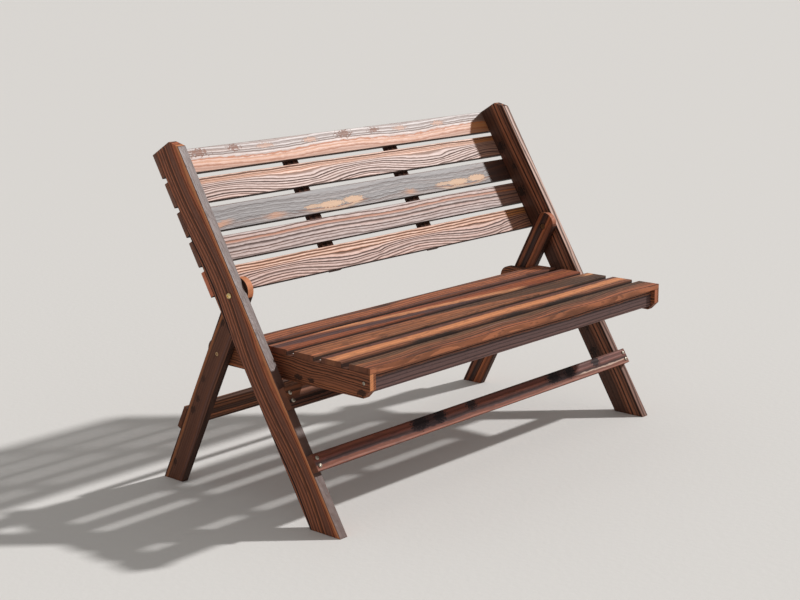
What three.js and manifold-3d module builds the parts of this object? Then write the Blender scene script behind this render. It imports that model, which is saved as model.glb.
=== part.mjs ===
// A folding two-seat garden bench made of dark, heat-treated fir boards.
//
// Two leaning uprights carry the slatted back and the two front stretchers. Two rear legs lie
// inside the uprights, cross them and turn on one bolt a side. The seat turns on a second bolt in
// each rear leg, and in use its side rails rest on the upper front stretcher. Folded, the rear legs
// and the seat lie between the uprights, in front of the back slats.
//
// Millimetres. +X runs along the bench to the right, -Y is the front and +Z is up. The origin is
// on the floor, in the middle of the bench's length and of its depth.

import * as THREE from 'three';
import { mergeVertices } from 'three/addons/utils/BufferGeometryUtils.js';
import Module from 'manifold-3d';

const wasm = await Module();
wasm.setup();

// Overall sizes
const benchLength = 1200; // over the outer faces of the uprights
const seatHeight = 378; // floor to the top of the seat slats
const uprightLeanDegrees = 31; // backwards from the vertical
const legLeanDegrees = 27; // forwards from the vertical, going up

// Uprights, measured along the front face from the floor
const uprightWidth = 78;
const uprightThickness = 23;
const uprightTopChamfer = 23;

// Rear legs
const legWidth = 59;
const legThickness = 18;
const legHeadOffset = 10; // frame bolt to the centre of the round end

// Seat
const railHeight = 56;
const railThickness = 18;
const railFrontChamfer = 20;
const railTailOffset = 24; // seat bolt to the centre of the round end
const seatReach = 457; // seat bolt to the front of the rails
const seatSlatCount = 5;
const seatSlatGap = 22;
const apronHeight = 45;
const apronThickness = 12;
const apronRecess = 12; // front of the rails to the face of the apron

// Slat stock, used for the seat, the back and the rear stretcher
const slatWidth = 61;
const slatThickness = 12;

// Back
const backSlatCount = 5;
const backSlatGap = 13;
const backStart = 20; // frame bolt to the lower edge of the lowest back slat

// Batten stock, behind the back slats and under the seat slats
const battenWidth = 40;
const battenThickness = 15;
const battenSpacing = 366; // middle to middle
const backBattenShift = 6; // of both back battens, to the left
const backBattenInset = 2; // from the outer edges of the first and last slat
const seatBattenEndGap = 2; // behind the apron
const seatBattenRearInset = 4; // in front of the last slat's rear edge

// Stretchers
const stretcherThickness = 18;
const lowerStretcherWidth = 40;
const lowerStretcherRise = 152; // foot to the lower edge, along the upright
const upperStretcherWidth = 50;
const rearStretcherRise = 148; // foot to the lower edge, along the back of the leg

// Bolts that the bench folds on
const frameBoltRise = 588; // along the upright
const frameBolt = { radius: 4, headRadius: 7, headHeight: 4.2 };
const frameNut = { acrossFlats: 13, height: 6.5, setback: 0.6 };
const frameNutPlay = 1.2; // round the nut in its pocket
const seatBolt = { radius: 3, headRadius: 5.5, headHeight: 3.3, setback: 0.3, tail: 1.5 };
const seatNut = { acrossFlats: 10, height: 5 };
const frameWasherRadius = 10;
const seatWasherRadius = 8.5;

// Screws: the length is measured under the head
const stretcherScrew = { radius: 2.5, headRadius: 5, headHeight: 3, length: 50 };
const slatScrew = { radius: 2.2, headRadius: 4.4, headHeight: 2.4, length: 35 };
const apronScrew = { radius: 2, headRadius: 4, headHeight: 1.8, length: 45 };
const screwSpacing = 18; // between the two screws at a stretcher's end

// Clearances
const foldGap = 1.5; // folded rear legs to the plane of the uprights' front faces
const frameSideGap = 1.5; // upright to rear leg
const seatSideGap = 2.5; // rear leg to seat rail
const washerPlay = 0.15; // on each side of a washer
const fitGap = 0.3; // between faces that bear on each other
const boreClearance = 0.3; // round a bolt or a screw
const edgeEase = 2; // width of the eased edges of a board
const overrun = 3; // of a cutter past the face it leaves

// Facets
const easeSegments = 2;
const arcSegments = 7;
const boltSegments = 24;
const screwSegments = 12;
const domeSteps = 3;

const wood = new THREE.MeshStandardMaterial({ color: 0x5e3a28, roughness: 0.62, metalness: 0 });
const paleWood = new THREE.MeshStandardMaterial({ color: 0x8a6148, roughness: 0.6, metalness: 0 });
const brass = new THREE.MeshStandardMaterial({ color: 0xcdbf8e, roughness: 0.35, metalness: 0.9 });
const zinc = new THREE.MeshStandardMaterial({ color: 0xc9c6bf, roughness: 0.38, metalness: 0.9 });

// Side profile, in the plane of Y and Z, from the front lower corner of the uprights' feet
const uprightLean = THREE.MathUtils.degToRad(uprightLeanDegrees);
const legLean = THREE.MathUtils.degToRad(legLeanDegrees);

function onUpright(rise, depth) {
  return {
    y: rise * Math.sin(uprightLean) + depth * Math.cos(uprightLean),
    z: rise * Math.cos(uprightLean) - depth * Math.sin(uprightLean),
  };
}

const frameBoltInset = legWidth / 2 + foldGap;
const backSlatPitch = slatWidth + backSlatGap;
const backBottom = frameBoltRise + backStart;
const uprightLength = backBottom + (backSlatCount - 1) * backSlatPitch + slatWidth;
const framePivot = onUpright(frameBoltRise, frameBoltInset);
const railTop = seatHeight - slatThickness - fitGap;
const railMiddle = railTop - railHeight / 2;
const boltSpacing = (framePivot.z - railMiddle) / Math.cos(legLean);
const seatPivot = { y: framePivot.y + boltSpacing * Math.sin(legLean), z: railMiddle };
const seatFront = seatPivot.y - seatReach;
const legFootRear = framePivot.y + framePivot.z * Math.tan(legLean) + legWidth / 2 / Math.cos(legLean);
const depthMiddle = (Math.min(seatFront, 0) + legFootRear) / 2;

// The upper stretcher's front upper edge meets the underside of the rails
const railUnderside = railMiddle - railHeight / 2;
const stretcherFront = -fitGap - stretcherThickness;
const upperStretcherTop =
  (railUnderside - fitGap + stretcherFront * Math.sin(uprightLean)) / Math.cos(uprightLean);

// Positions across the bench, from the outside in, on the right-hand side
const uprightOuter = benchLength / 2;
const uprightMiddle = uprightOuter - uprightThickness / 2;
const legOuter = uprightOuter - uprightThickness - frameSideGap;
const legMiddle = legOuter - legThickness / 2;
const legInner = legOuter - legThickness;
const railOuter = legInner - seatSideGap;
const railMiddleX = railOuter - railThickness / 2;
const railInner = railOuter - railThickness;

// Solids and geometry

function solidFrom(geometry) {
  const plain = geometry.clone();
  plain.deleteAttribute('normal');
  plain.deleteAttribute('uv');
  const merged = mergeVertices(plain);
  return new wasm.Manifold(new wasm.Mesh({
    numProp: 3,
    vertProperties: new Float32Array(merged.attributes.position.array),
    triVerts: new Uint32Array(merged.index.array),
  }));
}

function geometryFrom(solid) {
  const mesh = solid.getMesh();
  const geometry = new THREE.BufferGeometry();
  geometry.setAttribute('position', new THREE.BufferAttribute(mesh.vertProperties, 3));
  geometry.setIndex(new THREE.BufferAttribute(mesh.triVerts, 1));
  geometry.computeVertexNormals();
  return geometry;
}

function cut(geometry, cutters) {
  const body = cutters.reduce((rest, cutter) => rest.subtract(solidFrom(cutter)), solidFrom(geometry));
  return geometryFrom(body);
}

// A board from its outline, of the stock's thickness, with eased edges all round. It lies flat:
// the outline is in X and Y, and the thickness is centred on Z.
function lyingBoard(outline, thickness) {
  const geometry = new THREE.ExtrudeGeometry(outline, {
    depth: thickness - 2 * edgeEase,
    bevelEnabled: true,
    bevelThickness: edgeEase,
    bevelSize: edgeEase,
    bevelOffset: -edgeEase,
    bevelSegments: easeSegments,
    curveSegments: arcSegments,
  });
  return geometry.translate(0, 0, edgeEase - thickness / 2);
}

// The same board on its long edge: the outline's Y points up and the thickness runs front to back.
function standingBoard(outline, thickness) {
  return lyingBoard(outline, thickness).rotateX(Math.PI / 2);
}

// The same board seen from the bench's end: the outline's X runs front to back, its Y points up
// and the thickness runs across the bench.
function sideBoard(outline, thickness) {
  return lyingBoard(outline, thickness).rotateX(Math.PI / 2).rotateZ(Math.PI / 2);
}

function rectangle(width, height) {
  const outline = new THREE.Shape();
  outline.moveTo(-width / 2, -height / 2);
  outline.lineTo(width / 2, -height / 2);
  outline.lineTo(width / 2, height / 2);
  outline.lineTo(-width / 2, height / 2);
  return outline;
}

// Bores, each with its middle at a point

function boreAcross(radius, length, x, y, z) {
  const bore = new THREE.CylinderGeometry(radius, radius, length, boltSegments);
  return bore.rotateZ(Math.PI / 2).translate(x, y, z);
}

function boreThrough(radius, length, x, y, z) {
  return new THREE.CylinderGeometry(radius, radius, length, screwSegments).translate(x, y, z);
}

// Fasteners are turned round the Y axis, with the head above Y = 0 and the shank below it

function turned(points, segments) {
  const outline = points.map(([radius, height]) => new THREE.Vector2(radius, height));
  return new THREE.LatheGeometry(outline, segments);
}

function domePoints(radius, height) {
  const points = [];
  for (let step = 1; step <= domeSteps; step += 1) {
    const angle = (step / domeSteps) * (Math.PI / 2);
    const last = step === domeSteps;
    points.push([last ? 0 : radius * Math.cos(angle), height * Math.sin(angle)]);
  }
  return points;
}

function domedFastener(size, length, segments) {
  return turned([
    [0, -length],
    [size.radius, -length],
    [size.radius, 0],
    [size.headRadius, 0],
    ...domePoints(size.headRadius, size.headHeight),
  ], segments);
}

function countersunkFastener(size, length, segments) {
  return turned([
    [0, -length],
    [size.radius, -length],
    [size.radius, -size.headHeight],
    [size.headRadius, 0],
    [0, 0],
  ], segments);
}

function ring(outline, innerRadius, thickness) {
  const hole = new THREE.Path();
  hole.absarc(0, 0, innerRadius, 0, 2 * Math.PI, true);
  outline.holes.push(hole);
  const geometry = new THREE.ExtrudeGeometry(outline, {
    depth: thickness,
    bevelEnabled: false,
    curveSegments: boltSegments / 2,
  });
  return geometry.translate(0, 0, -thickness / 2).rotateY(Math.PI / 2);
}

function washer(outerRadius, innerRadius, thickness) {
  const outline = new THREE.Shape();
  outline.absarc(0, 0, outerRadius, 0, 2 * Math.PI, false);
  return ring(outline, innerRadius, thickness);
}

function hexNut(size, innerRadius) {
  const corner = size.acrossFlats / 2 / Math.cos(Math.PI / 6);
  const outline = new THREE.Shape();
  for (let side = 0; side < 6; side += 1) {
    const angle = (side * Math.PI) / 3;
    const point = [corner * Math.cos(angle), corner * Math.sin(angle)];
    if (side === 0) outline.moveTo(...point);
    else outline.lineTo(...point);
  }
  return ring(outline, innerRadius, size.height);
}

// Placing

const facing = {
  front: new THREE.Euler(Math.PI, 0, 0),
  rear: new THREE.Euler(0, 0, 0),
  left: new THREE.Euler(0, 0, Math.PI / 2),
  right: new THREE.Euler(0, 0, -Math.PI / 2),
};

function place(group, name, geometry, material, x, y, z, turn = facing.rear) {
  const mesh = new THREE.Mesh(geometry, material);
  mesh.name = name;
  mesh.position.set(x, y, z);
  mesh.rotation.copy(turn);
  group.add(mesh);
}

const sides = [
  { name: 'left', sign: -1, outward: facing.left },
  { name: 'right', sign: 1, outward: facing.right },
];
const screwRows = [-screwSpacing / 2, screwSpacing / 2];

const bench = new THREE.Group();
bench.position.y = -depthMiddle;

// In this group Y is the distance behind the uprights' front face and Z the distance up along it
const backFrame = new THREE.Group();
backFrame.rotation.x = -uprightLean;
bench.add(backFrame);

// In this group Z points up along the rear legs and the frame bolt is the origin
const legFrame = new THREE.Group();
legFrame.position.set(0, framePivot.y, framePivot.z);
legFrame.rotation.x = legLean;
bench.add(legFrame);

// In this group the seat bolt is the origin
const seatFrame = new THREE.Group();
seatFrame.position.set(0, seatPivot.y, seatPivot.z);
bench.add(seatFrame);

// Uprights

const lowerStretcherMiddle = lowerStretcherRise + lowerStretcherWidth / 2;
const upperStretcherMiddle = upperStretcherTop - upperStretcherWidth / 2;
const backSlatMiddles = Array.from(
  { length: backSlatCount },
  (_, index) => backBottom + slatWidth / 2 + index * backSlatPitch,
);
const stretcherScrewRises = [lowerStretcherMiddle, upperStretcherMiddle]
  .flatMap((middle) => screwRows.map((row) => middle + row));

function uprightOutline() {
  const outline = new THREE.Shape();
  outline.moveTo(0, 0);
  outline.lineTo(uprightWidth, uprightWidth * Math.tan(uprightLean));
  outline.lineTo(uprightWidth, uprightLength);
  outline.lineTo(uprightTopChamfer, uprightLength);
  outline.lineTo(0, uprightLength - uprightTopChamfer);
  return outline;
}

function pilotLength(screw, boardThickness) {
  return screw.length - boardThickness;
}

function uprightGeometry() {
  const frontPilot = pilotLength(stretcherScrew, stretcherThickness);
  const rearPilot = pilotLength(slatScrew, slatThickness);
  const cutters = [boreAcross(
    frameBolt.radius + boreClearance,
    uprightThickness + 2 * overrun,
    0,
    frameBoltInset,
    frameBoltRise,
  )];
  for (const rise of stretcherScrewRises) {
    const length = frontPilot + overrun;
    const middle = frontPilot - length / 2;
    cutters.push(boreThrough(stretcherScrew.radius + boreClearance, length, 0, middle, rise));
  }
  for (const rise of backSlatMiddles) {
    const length = rearPilot + overrun;
    const middle = uprightWidth - rearPilot + length / 2;
    cutters.push(boreThrough(slatScrew.radius + boreClearance, length, 0, middle, rise));
  }
  return cut(sideBoard(uprightOutline(), uprightThickness), cutters);
}

for (const side of sides) {
  place(backFrame, `${side.name}_upright`, uprightGeometry(), wood, side.sign * uprightMiddle, 0, 0);
}

// Front stretchers, screwed to the front faces of the uprights

function endBores(thickness, screw, rows, middleX) {
  const bores = [];
  for (const side of sides) {
    for (const row of rows) {
      bores.push(boreThrough(
        screw.radius + boreClearance,
        thickness + 2 * overrun,
        side.sign * middleX,
        0,
        row,
      ));
    }
  }
  return bores;
}

const frontStretchers = [
  { name: 'lower', width: lowerStretcherWidth, middle: lowerStretcherMiddle },
  { name: 'upper', width: upperStretcherWidth, middle: upperStretcherMiddle },
];
for (const stretcher of frontStretchers) {
  const bores = endBores(stretcherThickness, stretcherScrew, screwRows, uprightMiddle);
  const geometry = cut(standingBoard(rectangle(benchLength, stretcher.width), stretcherThickness), bores);
  const depth = stretcherFront + stretcherThickness / 2;
  place(backFrame, `${stretcher.name}_front_stretcher`, geometry, wood, 0, depth, stretcher.middle);
  for (const side of sides) {
    screwRows.forEach((row, index) => {
      place(
        backFrame,
        `${side.name}_${stretcher.name}_stretcher_screw_${index + 1}`,
        domedFastener(stretcherScrew, stretcherScrew.length, screwSegments),
        zinc,
        side.sign * uprightMiddle,
        stretcherFront - fitGap,
        stretcher.middle + row,
        facing.front,
      );
    });
  }
}

// Back slats, screwed to the rear faces of the uprights, numbered from the bottom

const backSlatFront = uprightWidth + fitGap;
const backSlatRear = backSlatFront + slatThickness;

backSlatMiddles.forEach((rise, index) => {
  const bores = endBores(slatThickness, slatScrew, [0], uprightMiddle);
  const geometry = cut(standingBoard(rectangle(benchLength, slatWidth), slatThickness), bores);
  const depth = backSlatFront + slatThickness / 2;
  place(backFrame, `back_slat_${index + 1}`, geometry, paleWood, 0, depth, rise);
  for (const side of sides) {
    place(
      backFrame,
      `${side.name}_back_slat_screw_${index + 1}`,
      domedFastener(slatScrew, slatScrew.length, screwSegments),
      zinc,
      side.sign * uprightMiddle,
      backSlatRear + fitGap,
      rise,
    );
  }
});

// Back battens, which tie the back slats together from behind

const backBattenBottom = backBottom + backBattenInset;
const backBattenTop = uprightLength - backBattenInset;
for (const side of sides) {
  place(
    backFrame,
    `${side.name}_back_batten`,
    standingBoard(rectangle(battenWidth, backBattenTop - backBattenBottom), battenThickness),
    wood,
    (side.sign * battenSpacing) / 2 - backBattenShift,
    backSlatRear + fitGap + battenThickness / 2,
    (backBattenBottom + backBattenTop) / 2,
  );
}

// Frame bolts: a domed head outside the upright, the nut in a pocket inside the rear leg

const frameBoltEnd = legInner + frameNut.setback;
const framePocketFloor = frameBoltEnd + frameNut.height + fitGap;
const framePocketRadius = frameNut.acrossFlats / 2 / Math.cos(Math.PI / 6) + frameNutPlay;
for (const side of sides) {
  const headSeat = uprightOuter + fitGap;
  place(
    backFrame,
    `${side.name}_frame_bolt`,
    domedFastener(frameBolt, headSeat - frameBoltEnd, boltSegments),
    brass,
    side.sign * headSeat,
    frameBoltInset,
    frameBoltRise,
    side.outward,
  );
  place(
    backFrame,
    `${side.name}_frame_nut`,
    hexNut(frameNut, frameBolt.radius + boreClearance),
    brass,
    side.sign * (frameBoltEnd + frameNut.height / 2),
    frameBoltInset,
    frameBoltRise,
  );
  place(
    backFrame,
    `${side.name}_frame_washer`,
    washer(frameWasherRadius, frameBolt.radius + boreClearance, frameSideGap - 2 * washerPlay),
    zinc,
    side.sign * (legOuter + frameSideGap / 2),
    frameBoltInset,
    frameBoltRise,
  );
}

// Rear legs

const rearStretcherMiddle = -(framePivot.z + (legWidth / 2) * Math.sin(legLean)) / Math.cos(legLean)
  + rearStretcherRise + slatWidth / 2;
const seatBoltDrop = -boltSpacing;

function legOutline() {
  const half = legWidth / 2;
  const floorAt = (depth) => -(framePivot.z + depth * Math.sin(legLean)) / Math.cos(legLean);
  const outline = new THREE.Shape();
  outline.moveTo(-half, floorAt(-half));
  outline.lineTo(half, floorAt(half));
  outline.lineTo(half, legHeadOffset);
  outline.absarc(0, legHeadOffset, half, 0, Math.PI, false);
  return outline;
}

function legGeometry(sign) {
  const pilot = pilotLength(slatScrew, slatThickness);
  const pilotCut = pilot + overrun;
  const outerFace = (sign * legThickness) / 2;
  const pocketDepth = framePocketFloor - legInner;
  const pocketCut = pocketDepth + overrun;
  const sink = new THREE.CylinderGeometry(
    seatBolt.headRadius + boreClearance,
    seatBolt.radius + boreClearance,
    seatBolt.headHeight,
    boltSegments,
  ).rotateZ((-sign * Math.PI) / 2);
  const sinkMiddle = outerFace - sign * (seatBolt.setback + seatBolt.headHeight / 2);
  const sinkMouth = seatBolt.setback + overrun;
  const cutters = [
    boreAcross(frameBolt.radius + boreClearance, legThickness + 2 * overrun, 0, 0, 0),
    boreAcross(framePocketRadius, pocketCut, sign * (pocketDepth - pocketCut / 2) - outerFace, 0, 0),
    boreAcross(seatBolt.radius + boreClearance, legThickness + 2 * overrun, 0, 0, seatBoltDrop),
    sink.translate(sinkMiddle, 0, seatBoltDrop),
    boreAcross(
      seatBolt.headRadius + boreClearance,
      sinkMouth,
      outerFace + sign * (sinkMouth / 2 - seatBolt.setback),
      0,
      seatBoltDrop,
    ),
  ];
  for (const row of screwRows) {
    const middle = legWidth / 2 - pilot + pilotCut / 2;
    const rise = rearStretcherMiddle + row;
    cutters.push(boreThrough(slatScrew.radius + boreClearance, pilotCut, 0, middle, rise));
  }
  return cut(sideBoard(legOutline(), legThickness), cutters);
}

for (const side of sides) {
  place(legFrame, `${side.name}_rear_leg`, legGeometry(side.sign), wood, side.sign * legMiddle, 0, 0);
}

// Rear stretcher, a slat screwed to the rear faces of the legs

const rearStretcherFront = legWidth / 2 + fitGap;
const rearStretcherBores = endBores(slatThickness, slatScrew, screwRows, legMiddle);
place(
  legFrame,
  'rear_stretcher',
  cut(standingBoard(rectangle(2 * legOuter, slatWidth), slatThickness), rearStretcherBores),
  wood,
  0,
  rearStretcherFront + slatThickness / 2,
  rearStretcherMiddle,
);
for (const side of sides) {
  screwRows.forEach((row, index) => {
    place(
      legFrame,
      `${side.name}_rear_stretcher_screw_${index + 1}`,
      domedFastener(slatScrew, slatScrew.length, screwSegments),
      zinc,
      side.sign * legMiddle,
      rearStretcherFront + slatThickness + fitGap,
      rearStretcherMiddle + row,
    );
  });
}

// Seat bolts: a flush head outside the rear leg, the nut inside the rail

const seatNutOuter = railInner - fitGap;
const seatBoltEnd = seatNutOuter - seatNut.height - seatBolt.tail;
for (const side of sides) {
  const headTop = legOuter - seatBolt.setback;
  place(
    legFrame,
    `${side.name}_seat_bolt`,
    countersunkFastener(seatBolt, headTop - seatBoltEnd, boltSegments),
    brass,
    side.sign * headTop,
    0,
    seatBoltDrop,
    side.outward,
  );
  place(
    legFrame,
    `${side.name}_seat_nut`,
    hexNut(seatNut, seatBolt.radius + boreClearance),
    zinc,
    side.sign * (seatNutOuter - seatNut.height / 2),
    0,
    seatBoltDrop,
  );
  place(
    legFrame,
    `${side.name}_seat_washer`,
    washer(seatWasherRadius, seatBolt.radius + boreClearance, seatSideGap - 2 * washerPlay),
    zinc,
    side.sign * (railOuter + seatSideGap / 2),
    0,
    seatBoltDrop,
  );
}

// Seat rails

const railFaceTop = railHeight / 2;
const apronFront = -seatReach + apronRecess;
const apronMiddle = apronFront + apronThickness / 2;
const apronMiddleZ = railFaceTop - apronHeight / 2;
const apronHalfLength = railInner - fitGap;

function railOutline() {
  const half = railHeight / 2;
  const outline = new THREE.Shape();
  outline.moveTo(-seatReach + railFrontChamfer, -half);
  outline.lineTo(railTailOffset, -half);
  outline.absarc(railTailOffset, 0, half, -Math.PI / 2, Math.PI / 2, false);
  outline.lineTo(-seatReach, half);
  outline.lineTo(-seatReach, -half + railFrontChamfer);
  return outline;
}

for (const side of sides) {
  const length = railThickness + 2 * overrun;
  const cutters = [
    boreAcross(seatBolt.radius + boreClearance, length, 0, 0, 0),
    boreAcross(apronScrew.radius + boreClearance, length, 0, apronMiddle, apronMiddleZ),
  ];
  const geometry = cut(sideBoard(railOutline(), railThickness), cutters);
  place(seatFrame, `${side.name}_seat_rail`, geometry, wood, side.sign * railMiddleX, 0, 0);
}

// Apron between the rails, under the front slat

const apronPilot = pilotLength(apronScrew, railThickness);
const apronBores = sides.map((side) => {
  const length = apronPilot + overrun;
  const middle = apronHalfLength - apronPilot + length / 2;
  return boreAcross(apronScrew.radius + boreClearance, length, side.sign * middle, 0, 0);
});
place(
  seatFrame,
  'front_apron',
  cut(standingBoard(rectangle(2 * apronHalfLength, apronHeight), apronThickness), apronBores),
  wood,
  0,
  apronMiddle,
  apronMiddleZ,
);
for (const side of sides) {
  place(
    seatFrame,
    `${side.name}_apron_screw`,
    domedFastener(apronScrew, apronScrew.length, screwSegments),
    zinc,
    side.sign * (railOuter + fitGap),
    apronMiddle,
    apronMiddleZ,
    side.outward,
  );
}

// Seat slats on the rails, numbered from the front

const seatSlatPitch = slatWidth + seatSlatGap;
const slatBottom = railFaceTop + fitGap;
for (let index = 0; index < seatSlatCount; index += 1) {
  place(
    seatFrame,
    `seat_slat_${index + 1}`,
    lyingBoard(rectangle(2 * railOuter, slatWidth), slatThickness),
    paleWood,
    0,
    -seatReach + slatWidth / 2 + index * seatSlatPitch,
    slatBottom + slatThickness / 2,
  );
}

// Seat battens, which tie the seat slats together from below

const seatBattenFront = apronFront + apronThickness + seatBattenEndGap;
const seatBattenRear = -seatReach + slatWidth + (seatSlatCount - 1) * seatSlatPitch - seatBattenRearInset;
for (const side of sides) {
  place(
    seatFrame,
    `${side.name}_seat_batten`,
    lyingBoard(rectangle(battenWidth, seatBattenRear - seatBattenFront), battenThickness),
    wood,
    (side.sign * battenSpacing) / 2,
    (seatBattenFront + seatBattenRear) / 2,
    railFaceTop - battenThickness / 2,
  );
}

export default bench;
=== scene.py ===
"""A folding two-seat garden bench of dark, heat-treated fir, dressed for its portrait.

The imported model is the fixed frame. Every board and fastener that shows is modelled anew in the
place of its node, and the nuts and washers keep their meshes and get a finish. Lengths are in
metres.
"""

from __future__ import annotations

import logging
import math
import sys
from collections.abc import Callable
from dataclasses import dataclass, replace
from enum import Enum

import bpy
from mathutils import Matrix, Vector

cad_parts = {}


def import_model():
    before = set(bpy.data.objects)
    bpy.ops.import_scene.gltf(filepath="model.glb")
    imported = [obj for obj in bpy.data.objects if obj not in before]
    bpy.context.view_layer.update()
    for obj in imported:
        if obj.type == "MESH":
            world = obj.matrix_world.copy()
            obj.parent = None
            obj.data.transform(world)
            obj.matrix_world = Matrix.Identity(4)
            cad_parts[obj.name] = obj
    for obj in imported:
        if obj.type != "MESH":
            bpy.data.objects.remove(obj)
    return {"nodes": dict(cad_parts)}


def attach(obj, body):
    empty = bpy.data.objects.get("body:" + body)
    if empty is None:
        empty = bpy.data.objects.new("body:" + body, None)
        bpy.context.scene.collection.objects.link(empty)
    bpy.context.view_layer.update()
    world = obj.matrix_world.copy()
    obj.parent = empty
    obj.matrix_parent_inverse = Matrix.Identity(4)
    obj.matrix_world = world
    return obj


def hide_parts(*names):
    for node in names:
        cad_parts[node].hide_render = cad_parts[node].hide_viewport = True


log = logging.getLogger("bench")

# Places closer than the least distance are the same place, and most boards' grain repeats.
LEAST = 0.00005
GRAIN_REPEAT = 0.49


# Shader building


class Value:
    """A number socket that Python's arithmetic can be written on."""

    def __init__(self, graph: Graph, socket: bpy.types.NodeSocket) -> None:
        """Keeps the socket and the graph that it belongs to.

        Args:
            graph: The graph that new Math nodes go to.
            socket: The output socket that carries the number.
        """
        self.graph = graph
        self.socket = socket

    def __add__(self, other: Value | float) -> Value:
        """Adds."""
        return self.graph.math("ADD", self, other)

    def __radd__(self, other: float) -> Value:
        """Adds to a plain number."""
        return self.graph.math("ADD", other, self)

    def __sub__(self, other: Value | float) -> Value:
        """Subtracts."""
        return self.graph.math("SUBTRACT", self, other)

    def __rsub__(self, other: float) -> Value:
        """Is subtracted from a plain number."""
        return self.graph.math("SUBTRACT", other, self)

    def __mul__(self, other: Value | float) -> Value:
        """Multiplies."""
        return self.graph.math("MULTIPLY", self, other)

    def __rmul__(self, other: float) -> Value:
        """Multiplies a plain number."""
        return self.graph.math("MULTIPLY", other, self)

    def __truediv__(self, other: Value | float) -> Value:
        """Divides."""
        return self.graph.math("DIVIDE", self, other)

    def __rtruediv__(self, other: float) -> Value:
        """Divides a plain number."""
        return self.graph.math("DIVIDE", other, self)

    def __abs__(self) -> Value:
        """Gives the size without the sign."""
        return self.graph.math("ABSOLUTE", self)

    def floor(self) -> Value:
        """Rounds down."""
        return self.graph.math("FLOOR", self)

    def fraction(self) -> Value:
        """Gives what is left after rounding down."""
        return self.graph.math("FRACT", self)

    def root(self) -> Value:
        """Gives the square root."""
        return self.graph.math("SQRT", self)

    def exponential(self) -> Value:
        """Gives e to this power."""
        return self.graph.math("EXPONENT", self)

    def cosine(self) -> Value:
        """Gives the cosine of an angle in radians."""
        return self.graph.math("COSINE", self)

    def greatest(self, other: Value | float) -> Value:
        """Gives the larger of the two."""
        return self.graph.math("MAXIMUM", self, other)

    def either_way(self, reach: float) -> Value:
        """Turns a noise from 0 to 1 into a move of up to this far either way."""
        return (self - 0.5) * (2.0 * reach)

    def edge(self, place: float, soft: float) -> Value:
        """Climbs from 0 to 1 round a place, or falls where the softness is negative."""
        return self.ramp(place - soft, place + soft)

    def ramp(self, low: float, high: float) -> Value:
        """Climbs smoothly from 0 at one value to 1 at another.

        Args:
            low: Where the result is 0. It may be larger than high.
            high: Where the result is 1.

        Returns:
            The smooth step between the two.
        """
        if low > high:
            return 1.0 - self.ramp(high, low)
        made = self.graph.node(
            "ShaderNodeMapRange",
            {"interpolation_type": "SMOOTHSTEP"},
            {"Value": self, "From Min": low, "From Max": high},
        )
        return Value(self.graph, made.outputs["Result"])


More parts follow.
